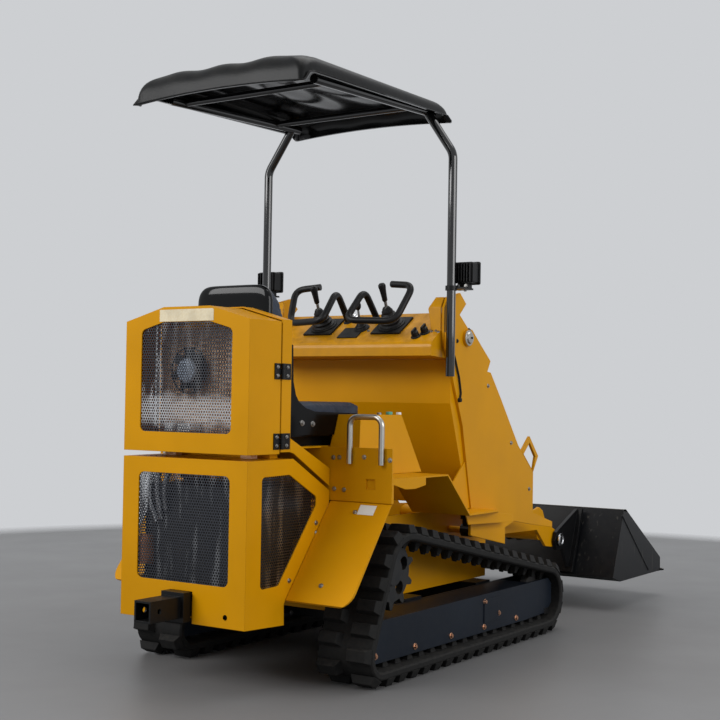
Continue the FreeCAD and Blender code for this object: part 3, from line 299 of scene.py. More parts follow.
# %% [markdown]
# # Paint, rubber and metal for the CAD parts
# The CAD already has the right shape for most of the steelwork, so these parts only need finishes.
# The yellow is a sprayed enamel with a slight orange peel. The track frames are a dark blue-grey,
# the bucket is black enamel that the soil has polished at its edges, and the tracks are rubber with
# a grey film of dust.

# %% Finishes
finish = {
    "yellow_paint": surface("yellow enamel", (208, 145, 0), 0.42, coat=0.02, drift=0.05, dust=0.015,
                            wear=0.3, shine=0.12, wear_colour=(120, 80, 20), edge=0.0025, grain=0.00006,
                            grain_size=0.004),
    "black_paint": surface("black enamel", (10, 11, 13), 0.36, dust=0.03, wear=0.5, edge=0.0015,
                           shine=0.22, wear_colour=(80, 79, 78), grain=0.00008, grain_size=0.003),
    "frame_paint": surface("slate enamel", (20, 27, 37), 0.42, drift=0.12, dust=0.04, wear=0.6,
                           shine=0.16, wear_colour=(90, 86, 84), edge=0.002, grain=0.00008,
                           grain_size=0.003),
    "bucket_paint": surface("bucket enamel", (11, 13, 17), 0.42, drift=0.15, dust=0.05, wear=0.8,
                            shine=0.20, wear_colour=(110, 106, 100), edge=0.002, scratches=0.35,
                            grain=0.00008, grain_size=0.003),
    "rubber": surface("track rubber", (18, 18, 18), 0.75, drift=0.2, drift_size=0.12, dust=0.28,
                      wear=0.4, shine=0.25, dust_colour=(88, 84, 78), wear_colour=(70, 67, 62),
                      edge=0.004, grain=0.0004, grain_size=0.006),
    "bare_steel": surface("bare steel", (150, 149, 146), 0.36, metallic=1.0, drift=0.15,
                          drift_size=0.05, dust=0.2, edge=0.001),
    "chrome": surface("bright steel", (214, 215, 217), 0.14, metallic=1.0, drift=0.04, dust=0.06,
                      edge=0.001),
    "cast": surface("cast iron", (44, 44, 46), 0.62, metallic=0.3, dust=0.3, edge=0.003, grain=0.0003,
                    grain_size=0.004),
    # painted light: the core is coloured far paler than its own brown, for the light that the perforated door
    # keeps out
    "core": surface("radiator core", (236, 198, 160), 0.6, drift=0.15, dust=0.1, edge=0.001),
    "black_plastic": surface("black moulding", (14, 14, 16), 0.44, dust=0.05, edge=0.002, grain=0.0001,
                             grain_size=0.0015, shine=0.25),
    "gloss_black": surface("glossy black moulding", (6, 7, 9), 0.16, coat=0.10, coat_rough=0.04,
                           dust=0.02, shine=0.22, edge=0.004, grain=0.00005, grain_size=0.012),
    "roof_black": surface("roof outside", (12, 13, 14), 0.34, dust=0.05, edge=0.004, grain=0.0004,
                          grain_size=0.010, shine=0.16),
    "post_black": surface("post enamel", (8, 9, 11), 0.10, coat=0.5, coat_rough=0.04, dust=0.02,
                          edge=0.001),
    "satin_steel": surface("satin steel", (176, 174, 168), 0.30, metallic=1.0, drift=0.06, dust=0.1,
                           edge=0.001),
    # the console's yellow is pulled towards a darker brown in mottled patches, most on faces that look up
    "console_paint": surface("console enamel", (207, 144, 0), 0.36, coat=0.05, drift=0.05, dust=0.55,
                             shine=0.25, dust_colour=(120, 78, 18), wear=0.3,
                             wear_colour=(110, 72, 20), edge=0.003),
    "sprocket_black": surface("sprocket enamel", (20, 22, 25), 0.45, dust=0.15, wear=0.7,
                              wear_colour=(96, 92, 88), edge=0.002, grain=0.0002, grain_size=0.004,
                              shine=0.3),
    "seat_vinyl": surface("seat vinyl", (24, 28, 36), 0.34, coat=0.1, dust=0.06, edge=0.004,
                          grain=0.0003, grain_size=0.0025),
}
steel, chrome, black_paint, plastic, rubber = (
    finish[name] for name in ("bare_steel", "chrome", "black_paint", "black_plastic", "rubber"))
print(len(finish), "finishes")

# %% Which finish each CAD part wears
wears = dict.fromkeys(nodes, "yellow_paint")
for slot_name, members in {
    "black_paint": "cross_members receiver_hitch door_hinge_leaves frame_hinge_leaves hand_loops "
                   "lift_barrel_left lift_barrel_right tilt_barrel attach_plate engine_box_grilles "
                   "rear_door_grille joysticks work_lamps",
    "frame_paint": "track_frames",
    "sprocket_black": "sprockets",
    "console_paint": "console",
    "bucket_paint": "bucket",
    "rubber": "track_left track_right lamp_cables",
    "cast": "engine_block track_rollers front_idlers",
    "chrome": "lift_rod_left lift_rod_right tilt_rod",
    "satin_steel": "grab_handles",
    "core": "radiator",
    "black_plastic": "cooling_fan",
    "bare_steel": "fan_motor",
    "gloss_black": "seat_base canopy_roof",
    "post_black": "canopy_rails canopy_posts canopy_cross_tubes",
    "seat_vinyl": "seat_cushion seat_back",
}.items():
    for name in members.split():
        wears[name] = slot_name
for name, slot_name in wears.items():
    held = nodes[name].data.materials
    for i in range(max(1, len(held))):
        if held:
            nodes[name].material_slots[i].material = finish[slot_name]
        else:
            held.append(finish[slot_name])
print({s: sum(w == s for w in wears.values()) for s in finish})

# %% [markdown]
# # Shapes by hand
# Most of the small parts of a machine are blocks, bars, turned parts and bent tubes. A shape here is
# just a list of points and a list of faces, so a part can be put together from several shapes and
# several finishes before it becomes one Blender mesh. Rounded corners come from the bevel operation
# of bmesh, which does on a shape what a file does on a steel edge.

# %% Blocks, plates and turned parts
X, Y, Z = Vector((1, 0, 0)), Vector((0, 1, 0)), Vector((0, 0, 1))


def band(low, high, count):
    """The faces between two rings of points, given the number of each ring's first point."""
    return [[low + k, low + (k + 1) % count, high + (k + 1) % count, high + k] for k in range(count)]


def prism(outline, low, high, axis="z"):
    """A flat outline pushed along an axis; the outline's two numbers are the other two axes in order."""
    def point(u, v, w):
        return {"x": (w, u, v), "y": (u, w, v), "z": (u, v, w)}[axis]
    n = len(outline)
    points = [Vector(point(u, v, w)) for w in (low, high) for u, v in outline]
    return outward((points, [list(range(n))[::-1], list(range(n, 2 * n))] + band(0, n, n)))


def block(low, high):
    (x0, y0, z0), (x1, y1, z1) = low, high
    return prism([(x0, y0), (x1, y0), (x1, y1), (x0, y1)], z0, z1)


def frame_along(direction):
    """Three unit vectors, of which the last is the direction given."""
    w = Vector(direction).normalized()
    u = w.cross(X if abs(w.x) < 0.8 else Y).normalized()
    return u, w.cross(u), w


def turned(profile, start, direction, steps=24):
    """A shape turned on a lathe: pairs of radius and distance along the axis, closed at both ends."""
    u, v, w = frame_along(direction)
    rings, points, faces = [], [], []
    for radius, along in profile:
        ring = []
        for i in range(steps if radius > 1e-6 else 1):
            a = 2 * math.pi * i / steps
            points.append(Vector(start) + w * along + (u * math.cos(a) + v * math.sin(a)) * radius)
            ring.append(len(points) - 1)
        rings.append(ring)
    for low, high in zip(rings, rings[1:]):
        for i in range(steps):
            corners = [low[i % len(low)], low[(i + 1) % len(low)], high[(i + 1) % len(high)],
                       high[i % len(high)]]
            faces.append(list(dict.fromkeys(corners)))
    for ring in (rings[0], rings[-1]):
        if len(ring) > 2:
            faces.append(ring)
    return outward((points, [f for f in faces if len(f) > 2]))


def pipe(path, radius, steps=12, closed=False):
    """A round tube through points; `radius` is one number or one for each point."""
    path = [Vector(p) for p in path]
    count = len(path)
    radii = radius if isinstance(radius, (list, tuple)) else [radius] * count
    points, faces = [], []
    u = None
    for i, here in enumerate(path):
        before = path[i - 1] if i or closed else here
        after = path[(i + 1) % count] if i + 1 < count or closed else here
        way = (after - before).normalized()
        u = frame_along(way)[0] if u is None else (u - way * u.dot(way)).normalized()
        v = way.cross(u)
        points += [here + (u * math.cos(a) + v * math.sin(a)) * radii[i]
                   for a in (2 * math.pi * k / steps for k in range(steps))]
    for i in range(count if closed else count - 1):
        faces += band(i * steps, (i + 1) % count * steps, steps)
    if not closed:
        faces += [list(range(steps)), list(range((count - 1) * steps, count * steps))]
    return outward((points, faces))


# %% Working on a shape
SHARP = math.radians(25.0)


def worked(shape, work):
    """Runs a bmesh operation on a shape and gives the shape back."""
    mesh = bmesh.new()
    corners = [mesh.verts.new(p) for p in shape[0]]
    for f in shape[1]:
        mesh.faces.new([corners[i] for i in f])
    work(mesh)
    mesh.verts.index_update()
    result = ([v.co.copy() for v in mesh.verts], [[v.index for v in f.verts] for f in mesh.faces])
    mesh.free()
    return result


def turn_outward(mesh):
    bmesh.ops.recalc_face_normals(mesh, faces=mesh.faces[:])


def outward(shape):
    return worked(shape, turn_outward)


def softened(shape, radius, steps=2):
    """Rounds every edge at which two faces meet at more than SHARP."""
    def work(mesh):
        sharp = [e for e in mesh.edges if len(e.link_faces) == 2 and e.calc_face_angle() > SHARP]
        bmesh.ops.bevel(mesh, geom=sharp, offset=radius, segments=steps, affect="EDGES", profile=0.5,
                        clamp_overlap=True)
    return worked(shape, work)


def brick(low, high, radius, steps=2):
    """A block with rounded edges."""
    return softened(block(low, high), radius, steps)


def clamped(t):
    return min(1.0, max(0.0, t))


def placed(shape, matrix):
    return ([matrix @ p for p in shape[0]], shape[1])


def axes(*ways):
    """The matrix that turns x, y and z to three directions."""
    return Matrix(ways).transposed().to_4x4()


def mirrored(shape):
    """The same shape on the machine's other side, with its faces turned to point outward again."""
    return ([Vector((p.x, -p.y, p.z)) for p in shape[0]], [f[::-1] for f in shape[1]])


def both(shapes):
    return shapes + [(mirrored(s), f) for s, f in shapes]


def smooth_path(corners, bend, steps=6):
    """Points along straight runs whose corners are rounded by curves that start `bend` metres away."""
    corners = [Vector(c) for c in corners]
    path = [corners[0]]
    for before, here, after in zip(corners, corners[1:], corners[2:]):
        a = here + (before - here).normalized() * min(bend, (before - here).length * 0.49)
        b = here + (after - here).normalized() * min(bend, (after - here).length * 0.49)
        path += [a.lerp(here, t).lerp(here.lerp(b, t), t) for t in (i / steps for i in range(steps + 1))]
    return path + [corners[-1]]


# %% From shapes to a piece that rides on a body
def plain_mesh(name, points, faces=()):
    mesh = bpy.data.meshes.new(name)
    mesh.from_pydata(points, [], faces)
    return mesh


def to_mesh(name, shapes, smooth=38.0):
    """One mesh from (shape, finish) pairs, smooth except where faces meet at more than an angle."""
    points, faces, kinds, used = [], [], [], []
    for shape, material in shapes:
        if material not in used:
            used.append(material)
        base = len(points)
        points += shape[0]
        faces += [[base + i for i in f] for f in shape[1]]
        kinds += [used.index(material)] * len(shape[1])
    mesh = plain_mesh(name, points, faces)
    for material in used:
        mesh.materials.append(material)
    mesh.polygons.foreach_set("material_index", kinds)
    mesh.polygons.foreach_set("use_smooth", [True] * len(faces))
    mesh.set_sharp_from_angle(angle=math.radians(smooth))
    return mesh


def add_piece(name, mesh, body, stands_for=()):
    piece = in_scene(name, mesh)
    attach(piece, body)
    if stands_for:
        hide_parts(*stands_for)
    low = [min(v.co[i] for v in mesh.vertices) for i in range(3)]
    high = [max(v.co[i] for v in mesh.vertices) for i in range(3)]
    print(f"{name}: {len(mesh.polygons)} faces,", [round(h - l, 3) for l, h in zip(low, high)], "m")
    return piece


def make(name, body, shapes, stands_for=(), smooth=38.0):
    return add_piece(name, to_mesh(name, shapes, smooth), body, stands_for)


# %% [markdown]
# # Geometry Nodes for what repeats
# A screw or a punched hole is drawn once, and a Geometry Nodes tree sets out all its copies, as a shop
# has one drawing of the screw and a list of places. Each tree has named inputs for its sizes. It ends
# by turning the copies into a real mesh, because copies that share one mesh are lost when the model is
# exported, and by giving that mesh its finish.

# %% Start a tree, and run one
def new_tree(name, sizes):
    """A Geometry Nodes tree with a mesh input, named sizes and a finish; gives the tree and its inputs."""
    group = bpy.data.node_groups.new(name, "GeometryNodeTree")
    group.interface.new_socket(name="Start", in_out="INPUT", socket_type="NodeSocketGeometry")
    for size_name in sizes:
        group.interface.new_socket(name=size_name, in_out="INPUT", socket_type="NodeSocketFloat")
    group.interface.new_socket(name="Finish", in_out="INPUT", socket_type="NodeSocketMaterial")
    group.interface.new_socket(name="Result", in_out="OUTPUT", socket_type="NodeSocketGeometry")
    tree = Tree(group)
    entry = group.nodes.new("NodeGroupInput")
    return group, tree, {socket.name: Socket(tree, socket) for socket in entry.outputs if socket.name}


def end_tree(tree, result, material):
    real = tree.add("GeometryNodeRealizeInstances", None, {"Geometry": result})
    named = tree.add("GeometryNodeSetMaterial", None, {"Geometry": real, "Material": material})
    tree.add("NodeGroupOutput", None, {"Result": named})


def modified(thing):
    """The plain mesh that an object's modifiers make of it."""
    return bpy.data.meshes.new_from_object(thing.evaluated_get(bpy.context.evaluated_depsgraph_get()))


def give(mesh, name, vectors):
    """Gives each point of a mesh a vector under a name."""
    held = mesh.attributes.new(name, "FLOAT_VECTOR", "POINT")
    held.data.foreach_set("vector", [c for v in vectors for c in v])


def grow(group, start, sizes, material):
    """Runs a tree on a mesh with the sizes given, and gives the plain mesh that it makes."""
    holder = in_scene(group.name, start)
    modifier = holder.modifiers.new("grow", "NODES")
    modifier.node_group = group
    for item in group.interface.items_tree:
        if item.in_out == "INPUT" and item.name in sizes:
            modifier[item.identifier] = sizes[item.name]
        elif item.in_out == "INPUT" and item.name == "Finish":
            modifier[item.identifier] = material
    mesh = modified(holder)
    holder.modifiers.remove(modifier)
    bpy.data.objects.remove(holder)
    return mesh


def as_shape(mesh):
    return ([v.co.copy() for v in mesh.vertices], [list(p.vertices) for p in mesh.polygons])


# %% The tree for screws
screw_group, tree, given = new_tree("screws", ["Head width", "Head height", "Washer width"])
half_head, half_washer = given["Head width"] * 0.5, given["Washer width"] * 0.5
head = tree.add("GeometryNodeMeshCone", None, {
    "Vertices": 6, "Radius Top": half_head * 0.88, "Radius Bottom": half_head, "Depth": given["Head height"]})
washer = tree.add("GeometryNodeMeshCone", None, {
    "Vertices": 14, "Radius Top": half_washer * 0.92, "Radius Bottom": half_washer,
    "Depth": given["Head height"] * 0.3})
turned_to = tree.add("FunctionNodeAlignRotationToVector", {"axis": "Z"}, {"Vector": tree.attribute("facing")})
copies = tree.add("GeometryNodeInstanceOnPoints", None, {
    "Points": given["Start"], "Instance": tree.joined(washer, head), "Rotation": turned_to})
end_tree(tree, copies, given["Finish"])


def screws(places, width, height, washer, material):
    """Hexagon heads at (point, facing) places, as one (shape, finish) pair."""
    start = plain_mesh("screw places", [point for point, _ in places])
    give(start, "facing", [facing for _, facing in places])
    sizes = {"Head width": width, "Head height": height, "Washer width": washer}
    return (as_shape(grow(screw_group, start, sizes, material)), material)

# %% [markdown]
# # Perforated panels
# The engine is shut in by black perforated sheet, so that air can pass. The holes stand in staggered
# rows about 9 mm apart. The sheet's pale bands, patches and streaks are painted reflections in its
# colour. Each hole could be cut with a Boolean, which is slow and leaves poor faces. Instead one
# six-sided cell with a hole in it is drawn, and the tree lays it out in rows over a flat outline,
# keeping the cells that fall on it.

# %% The tree for perforated sheet
sheet_group, tree, given = new_tree("perforated sheet", ["Hole pitch", "Hole width", "Sheet"])
pitch, row = given["Hole pitch"], given["Hole pitch"] * (math.sqrt(3) / 2)
bounds = [tree.add("GeometryNodeBoundBox", None, {"Geometry": given["Start"]}, output=i) for i in (1, 2)]
extent = tree.vector("SUBTRACT", bounds[1], bounds[0])
columns, rows = (tree.part(extent, i).math("DIVIDE", step).math("CEIL") + 2.0
                 for i, step in enumerate((pitch, row)))
grid = tree.add("GeometryNodeMeshGrid", None, {
    "Size X": (columns - 1.0) * pitch, "Size Y": (rows - 1.0) * row, "Vertices X": columns,
    "Vertices Y": rows})
index = tree.add("GeometryNodeInputIndex")
in_row = index.math("FLOORED_MODULO", rows).math("FLOORED_MODULO", 2.0)
middle = tree.add("ShaderNodeMix", {"data_type": "VECTOR"}, {0: 0.5, 4: bounds[0], 5: bounds[1]}, output=1)
stagger = tree.add("ShaderNodeCombineXYZ", None, {0: in_row * pitch * 0.5})
shift = tree.vector("ADD", middle, stagger)
grid = tree.add("GeometryNodeSetPosition", None, {"Geometry": grid, "Offset": shift})
over = tree.vector("ADD", tree.add("GeometryNodeInputPosition"), (0.0, 0.0, 1.0))
hit = tree.add("GeometryNodeRaycast", None, {
    "Target Geometry": given["Start"], "Source Position": over, "Ray Direction": (0.0, 0.0, -1.0),
    "Ray Length": 2.0})
missed = tree.add("FunctionNodeBooleanMath", {"operation": "NOT"}, {0: hit})
grid = tree.add("GeometryNodeDeleteGeometry", {"domain": "POINT"}, {"Geometry": grid, "Selection": missed})

HEXAGON_TURN = (0.0, 0.0, math.radians(30))
hexagons = []
for half_width in (pitch * (1 / math.sqrt(3)), given["Hole width"] * 0.5):
    hexagon = tree.add("GeometryNodeCurvePrimitiveCircle", None, {"Resolution": 6, "Radius": half_width})
    hexagons.append(tree.add("GeometryNodeTransform", None, {"Geometry": hexagon, "Rotation": HEXAGON_TURN}))
back = tree.add("GeometryNodeFillCurve", None, {"Curve": tree.joined(*hexagons)})
front = tree.add("GeometryNodeExtrudeMesh", None, {"Mesh": back, "Offset Scale": given["Sheet"],
                                                   "Individual": False})
level = tree.vector("MULTIPLY", tree.add("GeometryNodeInputPosition"), (1.0, 1.0, 0.0))
outer = tree.vector("LENGTH", level, output=1) - given["Hole width"] * 0.55
upright = 0.5 - tree.part(tree.add("GeometryNodeInputNormal"), 2).math("ABSOLUTE")
seam = outer.math("MINIMUM", upright).math("GREATER_THAN", 0.0)
front = tree.add("GeometryNodeDeleteGeometry", {"domain": "FACE"}, {"Geometry": front, "Selection": seam})
under = tree.add("GeometryNodeFlipFaces", None, {"Mesh": back})
cells = tree.add("GeometryNodeInstanceOnPoints", None, {"Points": grid,
                                                        "Instance": tree.joined(front, under)})
end_tree(tree, cells, given["Finish"])

# %% Panels behind each window
HOLE_PITCH, HOLE_WIDTH, SHEET = 0.0095, 0.0076, 0.0012


def sheet_with_painted_reflections(name, low, high, upper, painted_streak_weight):
    """Black sheet with painted reflections: pale between two heights, above a third at one side, streaked."""
    material, tree, place = new_material(name)
    side, height = tree.part(place, 1), tree.part(place, 2)
    level = height + (tree.noise(place, 0.05) - 0.5) * 0.05
    # painted reflection: a pale band between two heights
    painted_reflection_band = level.between(low - 0.02, low + 0.01) * (1.0 - level.between(high - 0.01, high + 0.02))
    # painted glints: pale upright streaks
    stretched = tree.add("ShaderNodeMapping", None, {"Vector": place, "Rotation": (0.25, 0.0, 0.0),
                                                     "Scale": (30.0, 30.0, 5.0)})
    painted_glint_streaks = tree.add("ShaderNodeTexNoise", None, {"Vector": stretched, "Scale": 1.0,
                                                    "Detail": 3.0}).between(0.52, 0.68)
    # painted reflection: a pale patch towards one side, above a third height
    left = side.between(0.06, 0.17) * level.between(upper - 0.03, upper + 0.05)
    share = (painted_reflection_band * 0.65 + painted_glint_streaks * painted_streak_weight + left * painted_glint_streaks * 0.8).math("MINIMUM", 0.85)
    tone = tree.mix(share, screen(70, 72, 78), screen(232, 235, 238))
    shader = tree.add("ShaderNodeBsdfPrincipled", None, {"Base Color": tone, "Roughness": 0.24 - share * 0.06,
                                                         "Metallic": 0.85})
    tree.add("ShaderNodeOutputMaterial", None, {"Surface": shader})
    return material


door_sheet = sheet_with_painted_reflections("door sheet", 0.800, 0.870, 0.78, 0.12)
box_sheet = sheet_with_painted_reflections("engine box sheet", 0.0, 0.01, 0.46, 0.22)


def perforated(outline, corner, across, upward, sheet, bow=0.0):
    """Perforated sheet over a flat outline, set in space by a corner and two directions; `bow` dishes it."""
    start = plain_mesh("outline", [(u, v, 0.0) for u, v in outline], [list(range(len(outline)))])
    sizes = {"Hole pitch": HOLE_PITCH, "Hole width": HOLE_WIDTH, "Sheet": SHEET}
    across, upward = Vector(across), Vector(upward)
    matrix = axes(across, upward, across.cross(upward))
    points, faces = as_shape(grow(sheet_group, start, sizes, sheet))
    width, height = max(u for u, v in outline), max(v for u, v in outline)
    for p in points:
        p.z += bow * math.sin(math.pi * clamped(p.x / width)) * math.sin(math.pi * clamped(p.y / height))
    return (placed((points, faces), Matrix.Translation(corner) @ matrix), sheet)


grille_lo, grille_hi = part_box("rear_door_grille")
width, height = grille_hi.y - grille_lo.y, grille_hi.z - grille_lo.z
CUT_ACROSS, CUT_DOWN = 0.096, 0.046      # the door's upper corners are cut off
door_outline = [(0, 0), (width, 0), (width, height - CUT_DOWN), (width - CUT_ACROSS, height),
                (CUT_ACROSS, height), (0, height - CUT_DOWN)]
door_panel = perforated(door_outline, (grille_lo.x, grille_hi.y, grille_lo.z), -Y, Z, door_sheet, bow=0.004)
make("door_mesh", "rear_door", [door_panel], ["rear_door_grille"])

box_lo, box_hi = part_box("engine_box_grilles")
HALF_PANEL = 0.192
rear_outline = [(0, 0), (2 * HALF_PANEL, 0), (2 * HALF_PANEL, box_hi.z - box_lo.z), (0, box_hi.z - box_lo.z)]
rear_panel = perforated(rear_outline, (box_lo.x, HALF_PANEL, box_lo.z), -Y, Z, box_sheet, bow=0.003)
SIDE_X, SIDE_Y, SIDE_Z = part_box("engine_box")[0].x + 0.0555, -0.2403, 0.302
side_outline = [(0, 0), (0.106, 0), (0.304, 0.233), (0.304, 0.275), (0.152, 0.349), (0, 0.345)]
right_panel = perforated(side_outline, (SIDE_X, SIDE_Y, SIDE_Z), X, Z, box_sheet)
left_panel = (mirrored(right_panel[0]), box_sheet)
make("engine_box_mesh", "machine", [rear_panel, right_panel, left_panel],
     ["engine_box_grilles"])

# %% [markdown]
# # The canopy roof
# The roof is one glossy black moulding, vacuum-formed over a mould. A narrow flange runs all round it.
# The skirt hangs lower at the back and front than along the sides, and comes to a point at each
# corner. It rises into a rounded shoulder, and the top has four broad swells from front to back that
# stiffen it. A box with bevelled edges would look like sheet metal. Here rings of points follow the
# outline inward, and a formula gives each point its height, as a pattern maker would cut it.

# %% Heights of the moulded roof
roof_lo, roof_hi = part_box("canopy_roof")
roof_half = Vector(((roof_hi.x - roof_lo.x) / 2, roof_hi.y, 0.0))
FLANGE, SHOULDER, SWELL, SWELL_PITCH, SHELL = 0.008, 0.062, 0.007, 0.177, 0.0035
CORNER, INNER_CORNER = 0.012, 0.070
TOP_FALL = 0.0108
SIDE_LIP, SIDE_LIP_RISE, FRONT_LIP, REAR_ARCH = 0.036, 0.024, 0.040, 0.014
REAR_EAR, FRONT_EAR = 0.045, 0.030


def eased(t):
    t = clamped(t)
    return t * t * (3.0 - 2.0 * t)


def lip_height(x, y):
    """Height of the lip over the roof's lowest point: low at both ends, raised along the sides."""
    from_rear, from_front = x - roof_lo.x, roof_hi.x - x
    at_rear, at_front = 1.0 - eased(from_rear / REAR_EAR), 1.0 - eased(from_front / FRONT_EAR)
    arch = 1.0 - (y / roof_half.y) ** 2
    side = SIDE_LIP + SIDE_LIP_RISE * from_rear / (2 * roof_half.x)
    rear, front = REAR_ARCH * arch, FRONT_LIP + REAR_ARCH * arch
    return side * (1.0 - at_rear - at_front) + rear * at_rear + front * at_front


def top_height(x, y):
    swell = SWELL * (0.5 - 0.5 * math.cos(2 * math.pi * y / SWELL_PITCH))
    return roof_hi.z - roof_lo.z - TOP_FALL * (roof_hi.x - x) / (2 * roof_half.x) - swell


PER_CORNER, PER_SIDE = 10, 40


def rounded_outline(half_x, half_y, corner):
    """Points round a rounded rectangle, the same number whatever its size."""
    signs = ((1, 1), (-1, 1), (-1, -1), (1, -1))
    points = []

    def on_arc(sx, sy, a):
        return sx * (half_x - corner) + corner * math.cos(a), sy * (half_y - corner) + corner * math.sin(a)

    for turn_at, (sx, sy) in enumerate(signs):
        arc = [math.pi / 2 * (turn_at + i / PER_CORNER) for i in range(PER_CORNER + 1)]
        points += [on_arc(sx, sy, a) for a in arc]
        (x0, y0), (x1, y1) = points[-1], on_arc(*signs[(turn_at + 1) % 4], arc[-1])
        points += [(x0 + (x1 - x0) * i / PER_SIDE, y0 + (y1 - y0) * i / PER_SIDE) for i in range(1, PER_SIDE)]
    return points


# %% The roof shell
middle_x = (roof_lo.x + roof_hi.x) / 2
SHOULDER_RINGS, TOP_RINGS = 12, 22
depths = [0.0, FLANGE * 0.5, FLANGE]
depths += [FLANGE + SHOULDER * (i / SHOULDER_RINGS) ** 1.6 for i in range(1, SHOULDER_RINGS + 1)]
depths += [depths[-1] + (roof_half.y - depths[-1]) * i / TOP_RINGS for i in range(1, TOP_RINGS + 1)]
lips = [lip_height(middle_x + x, y) for x, y in rounded_outline(roof_half.x, roof_half.y, CORNER)]
points, faces = [], []
for depth in depths:
    corner = min(CORNER + (INNER_CORNER - CORNER) * min(1.0, depth / SHOULDER), roof_half.y - depth)
    climb = (1.0 - (1.0 - clamped((depth - FLANGE) / SHOULDER)) ** 2.4) ** (1 / 2.4)
    for (x, y), lip in zip(rounded_outline(roof_half.x - depth, roof_half.y - depth, corner), lips):
        x += middle_x
        points.append(Vector((x, y, roof_lo.z + lip + (top_height(x, y) - lip) * climb)))
n = len(lips)
for k in range(len(depths) - 1):
    faces += band(k * n, (k + 1) * n, n)


def give_thickness(mesh):
    bmesh.ops.remove_doubles(mesh, verts=mesh.verts[:], dist=0.0002)
    turn_outward(mesh)
    if sum(f.normal.z for f in mesh.faces) < 0:
        bmesh.ops.reverse_faces(mesh, faces=mesh.faces[:])
    bmesh.ops.solidify(mesh, geom=mesh.faces[:], thickness=SHELL)


moulding = worked((points, faces), give_thickness)


def looks_up(face):
    first, second, third = (moulding[0][i] for i in face[:3])
    return (second - first).cross(third - first).z > 0


mesh = to_mesh("canopy_roof_moulding", [
    ((moulding[0], [f for f in moulding[1] if looks_up(f) == up]), finish[worn])
    for up, worn in ((True, "roof_black"), (False, "gloss_black"))])
shell_mesh = bmesh.new()
shell_mesh.from_mesh(mesh)
bmesh.ops.remove_doubles(shell_mesh, verts=shell_mesh.verts[:], dist=0.00005)
shell_mesh.to_mesh(mesh)
shell_mesh.free()
add_piece("canopy_roof_moulding", mesh, "machine", ["canopy_roof"])

# %% [markdown]
# # The seat shell
# The seat is a shallow pan of glossy black moulding that turns up into a backrest shell, with a wing
# on each side that joins the two. The shell's rear face is a smooth rounded slab that mirrors the
# hall. Each wing is bolted through twice. The pan stands on two sills on the engine cowls.

# %% Shell, wings and sills
seat_lo, seat_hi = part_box("seat_base")
back_lo, back_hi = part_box("seat_back")
pad_lo, pad_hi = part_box("seat_cushion")
SHELL_HALF, SHELL_DEPTH, WING = 0.150, 0.036, 0.006
TRAY_HALF, TRAY_Z, SWELL_DEPTH = 0.200, 0.757, 0.021
seat_black = surface("seat moulding", (3, 3, 4), 0.22, coat=0.05, coat_rough=0.05, dust=0.01,
                     shine=0.10, edge=0.002)
lower_shell = brick((seat_lo.x, -SHELL_HALF - 0.02, 0.780),
                    (seat_lo.x + SHELL_DEPTH, SHELL_HALF + 0.02, seat_hi.z - 0.12), 0.012, steps=4)


def pillow(middle, half_width, half_height, half_depth):
    """A plump slab with a rounded outline, thickest in the middle, whose faces look along x."""
    power, cells = 4.0, 28
    points, faces, side = [], [], cells + 1
    for sign in (-1, 1):
        for i in range(side):
            for j in range(side):
                u, v = (math.sin(math.pi / 2 * (2 * t / cells - 1)) for t in (i, j))
                depth = ((1 - abs(u) ** power) * (1 - abs(v) ** power)) ** (1 / power)
                y, z = u * math.sqrt(1 - 0.30 * v ** 4), v * math.sqrt(1 - 0.20 * u ** 8)
                offset = Vector((sign * half_depth * depth, y * half_width, z * half_height))
                points.append(Vector(middle) + offset)
    for base in (0, side * side):
        firsts = [base + i * side + j for i in range(cells) for j in range(cells)]
        faces += [[first, first + side, first + side + 1, first + 1] for first in firsts]

    def close(mesh):
        bmesh.ops.remove_doubles(mesh, verts=mesh.verts[:], dist=0.0001)
        turn_outward(mesh)
    return worked((points, faces), close)


shell = pillow((seat_lo.x + SWELL_DEPTH, 0.0, seat_hi.z - 0.080), SHELL_HALF - 0.004, 0.080, SWELL_DEPTH)
shell_gloss = surface("polished shell", (3, 4, 5), 0.10, coat=0.28, coat_rough=0.03, dust=0.01,
                      shine=0.10, edge=0.002)
tray = brick((seat_lo.x + 0.002, -TRAY_HALF, TRAY_Z), (pad_hi.x + 0.004, TRAY_HALF, pad_lo.z - 0.001), 0.006,
             steps=3)
sill = brick((seat_lo.x + 0.002, 0.120, seat_lo.z), (seat_hi.x - 0.015, 0.160, TRAY_Z), 0.003)
wing_outline = [(seat_lo.x + 0.004, 0.762), (pad_hi.x - 0.030, 0.762), (pad_hi.x - 0.018, 0.800),
                (pad_hi.x - 0.070, 0.830), (-0.930, 0.836), (-0.980, 0.847), (-1.017, 0.866), (-1.034, 0.887),
                (-1.048, 0.930), (-1.052, 1.040), (-1.097, 1.060)]
wing = softened(prism(wing_outline, seat_hi.y - WING, seat_hi.y, axis="y"), 0.0022)
WING_BOLTS = [(pad_lo.x + 0.048, 0.800), (pad_lo.x + 0.104, 0.797)]
wing_bolts = screws([((x, side * seat_hi.y, z), (0, side, 0)) for side in (-1, 1) for x, z in WING_BOLTS],
                    0.013, 0.006, 0.019, steel)
make("seat_shell", "machine",
     [(shell, shell_gloss), (lower_shell, seat_black), (tray, seat_black)]
     + both([(sill, black_paint), (wing, seat_black)]) + [wing_bolts], ["seat_base"])

# %% [markdown]
# # The seat pads
# Cushion and backrest are foam in thin blue-black vinyl. The cover is a little too large for the foam,
# so it puckers in small wrinkles. Cloth simulation is the usual way to fill a pad: a slightly small
# closed form is remeshed and blown up by pressure, and how far each point may move is limited. A fine
# field of wrinkles is then laid over the filled form.

# %% Blow up a pad
from mathutils import noise

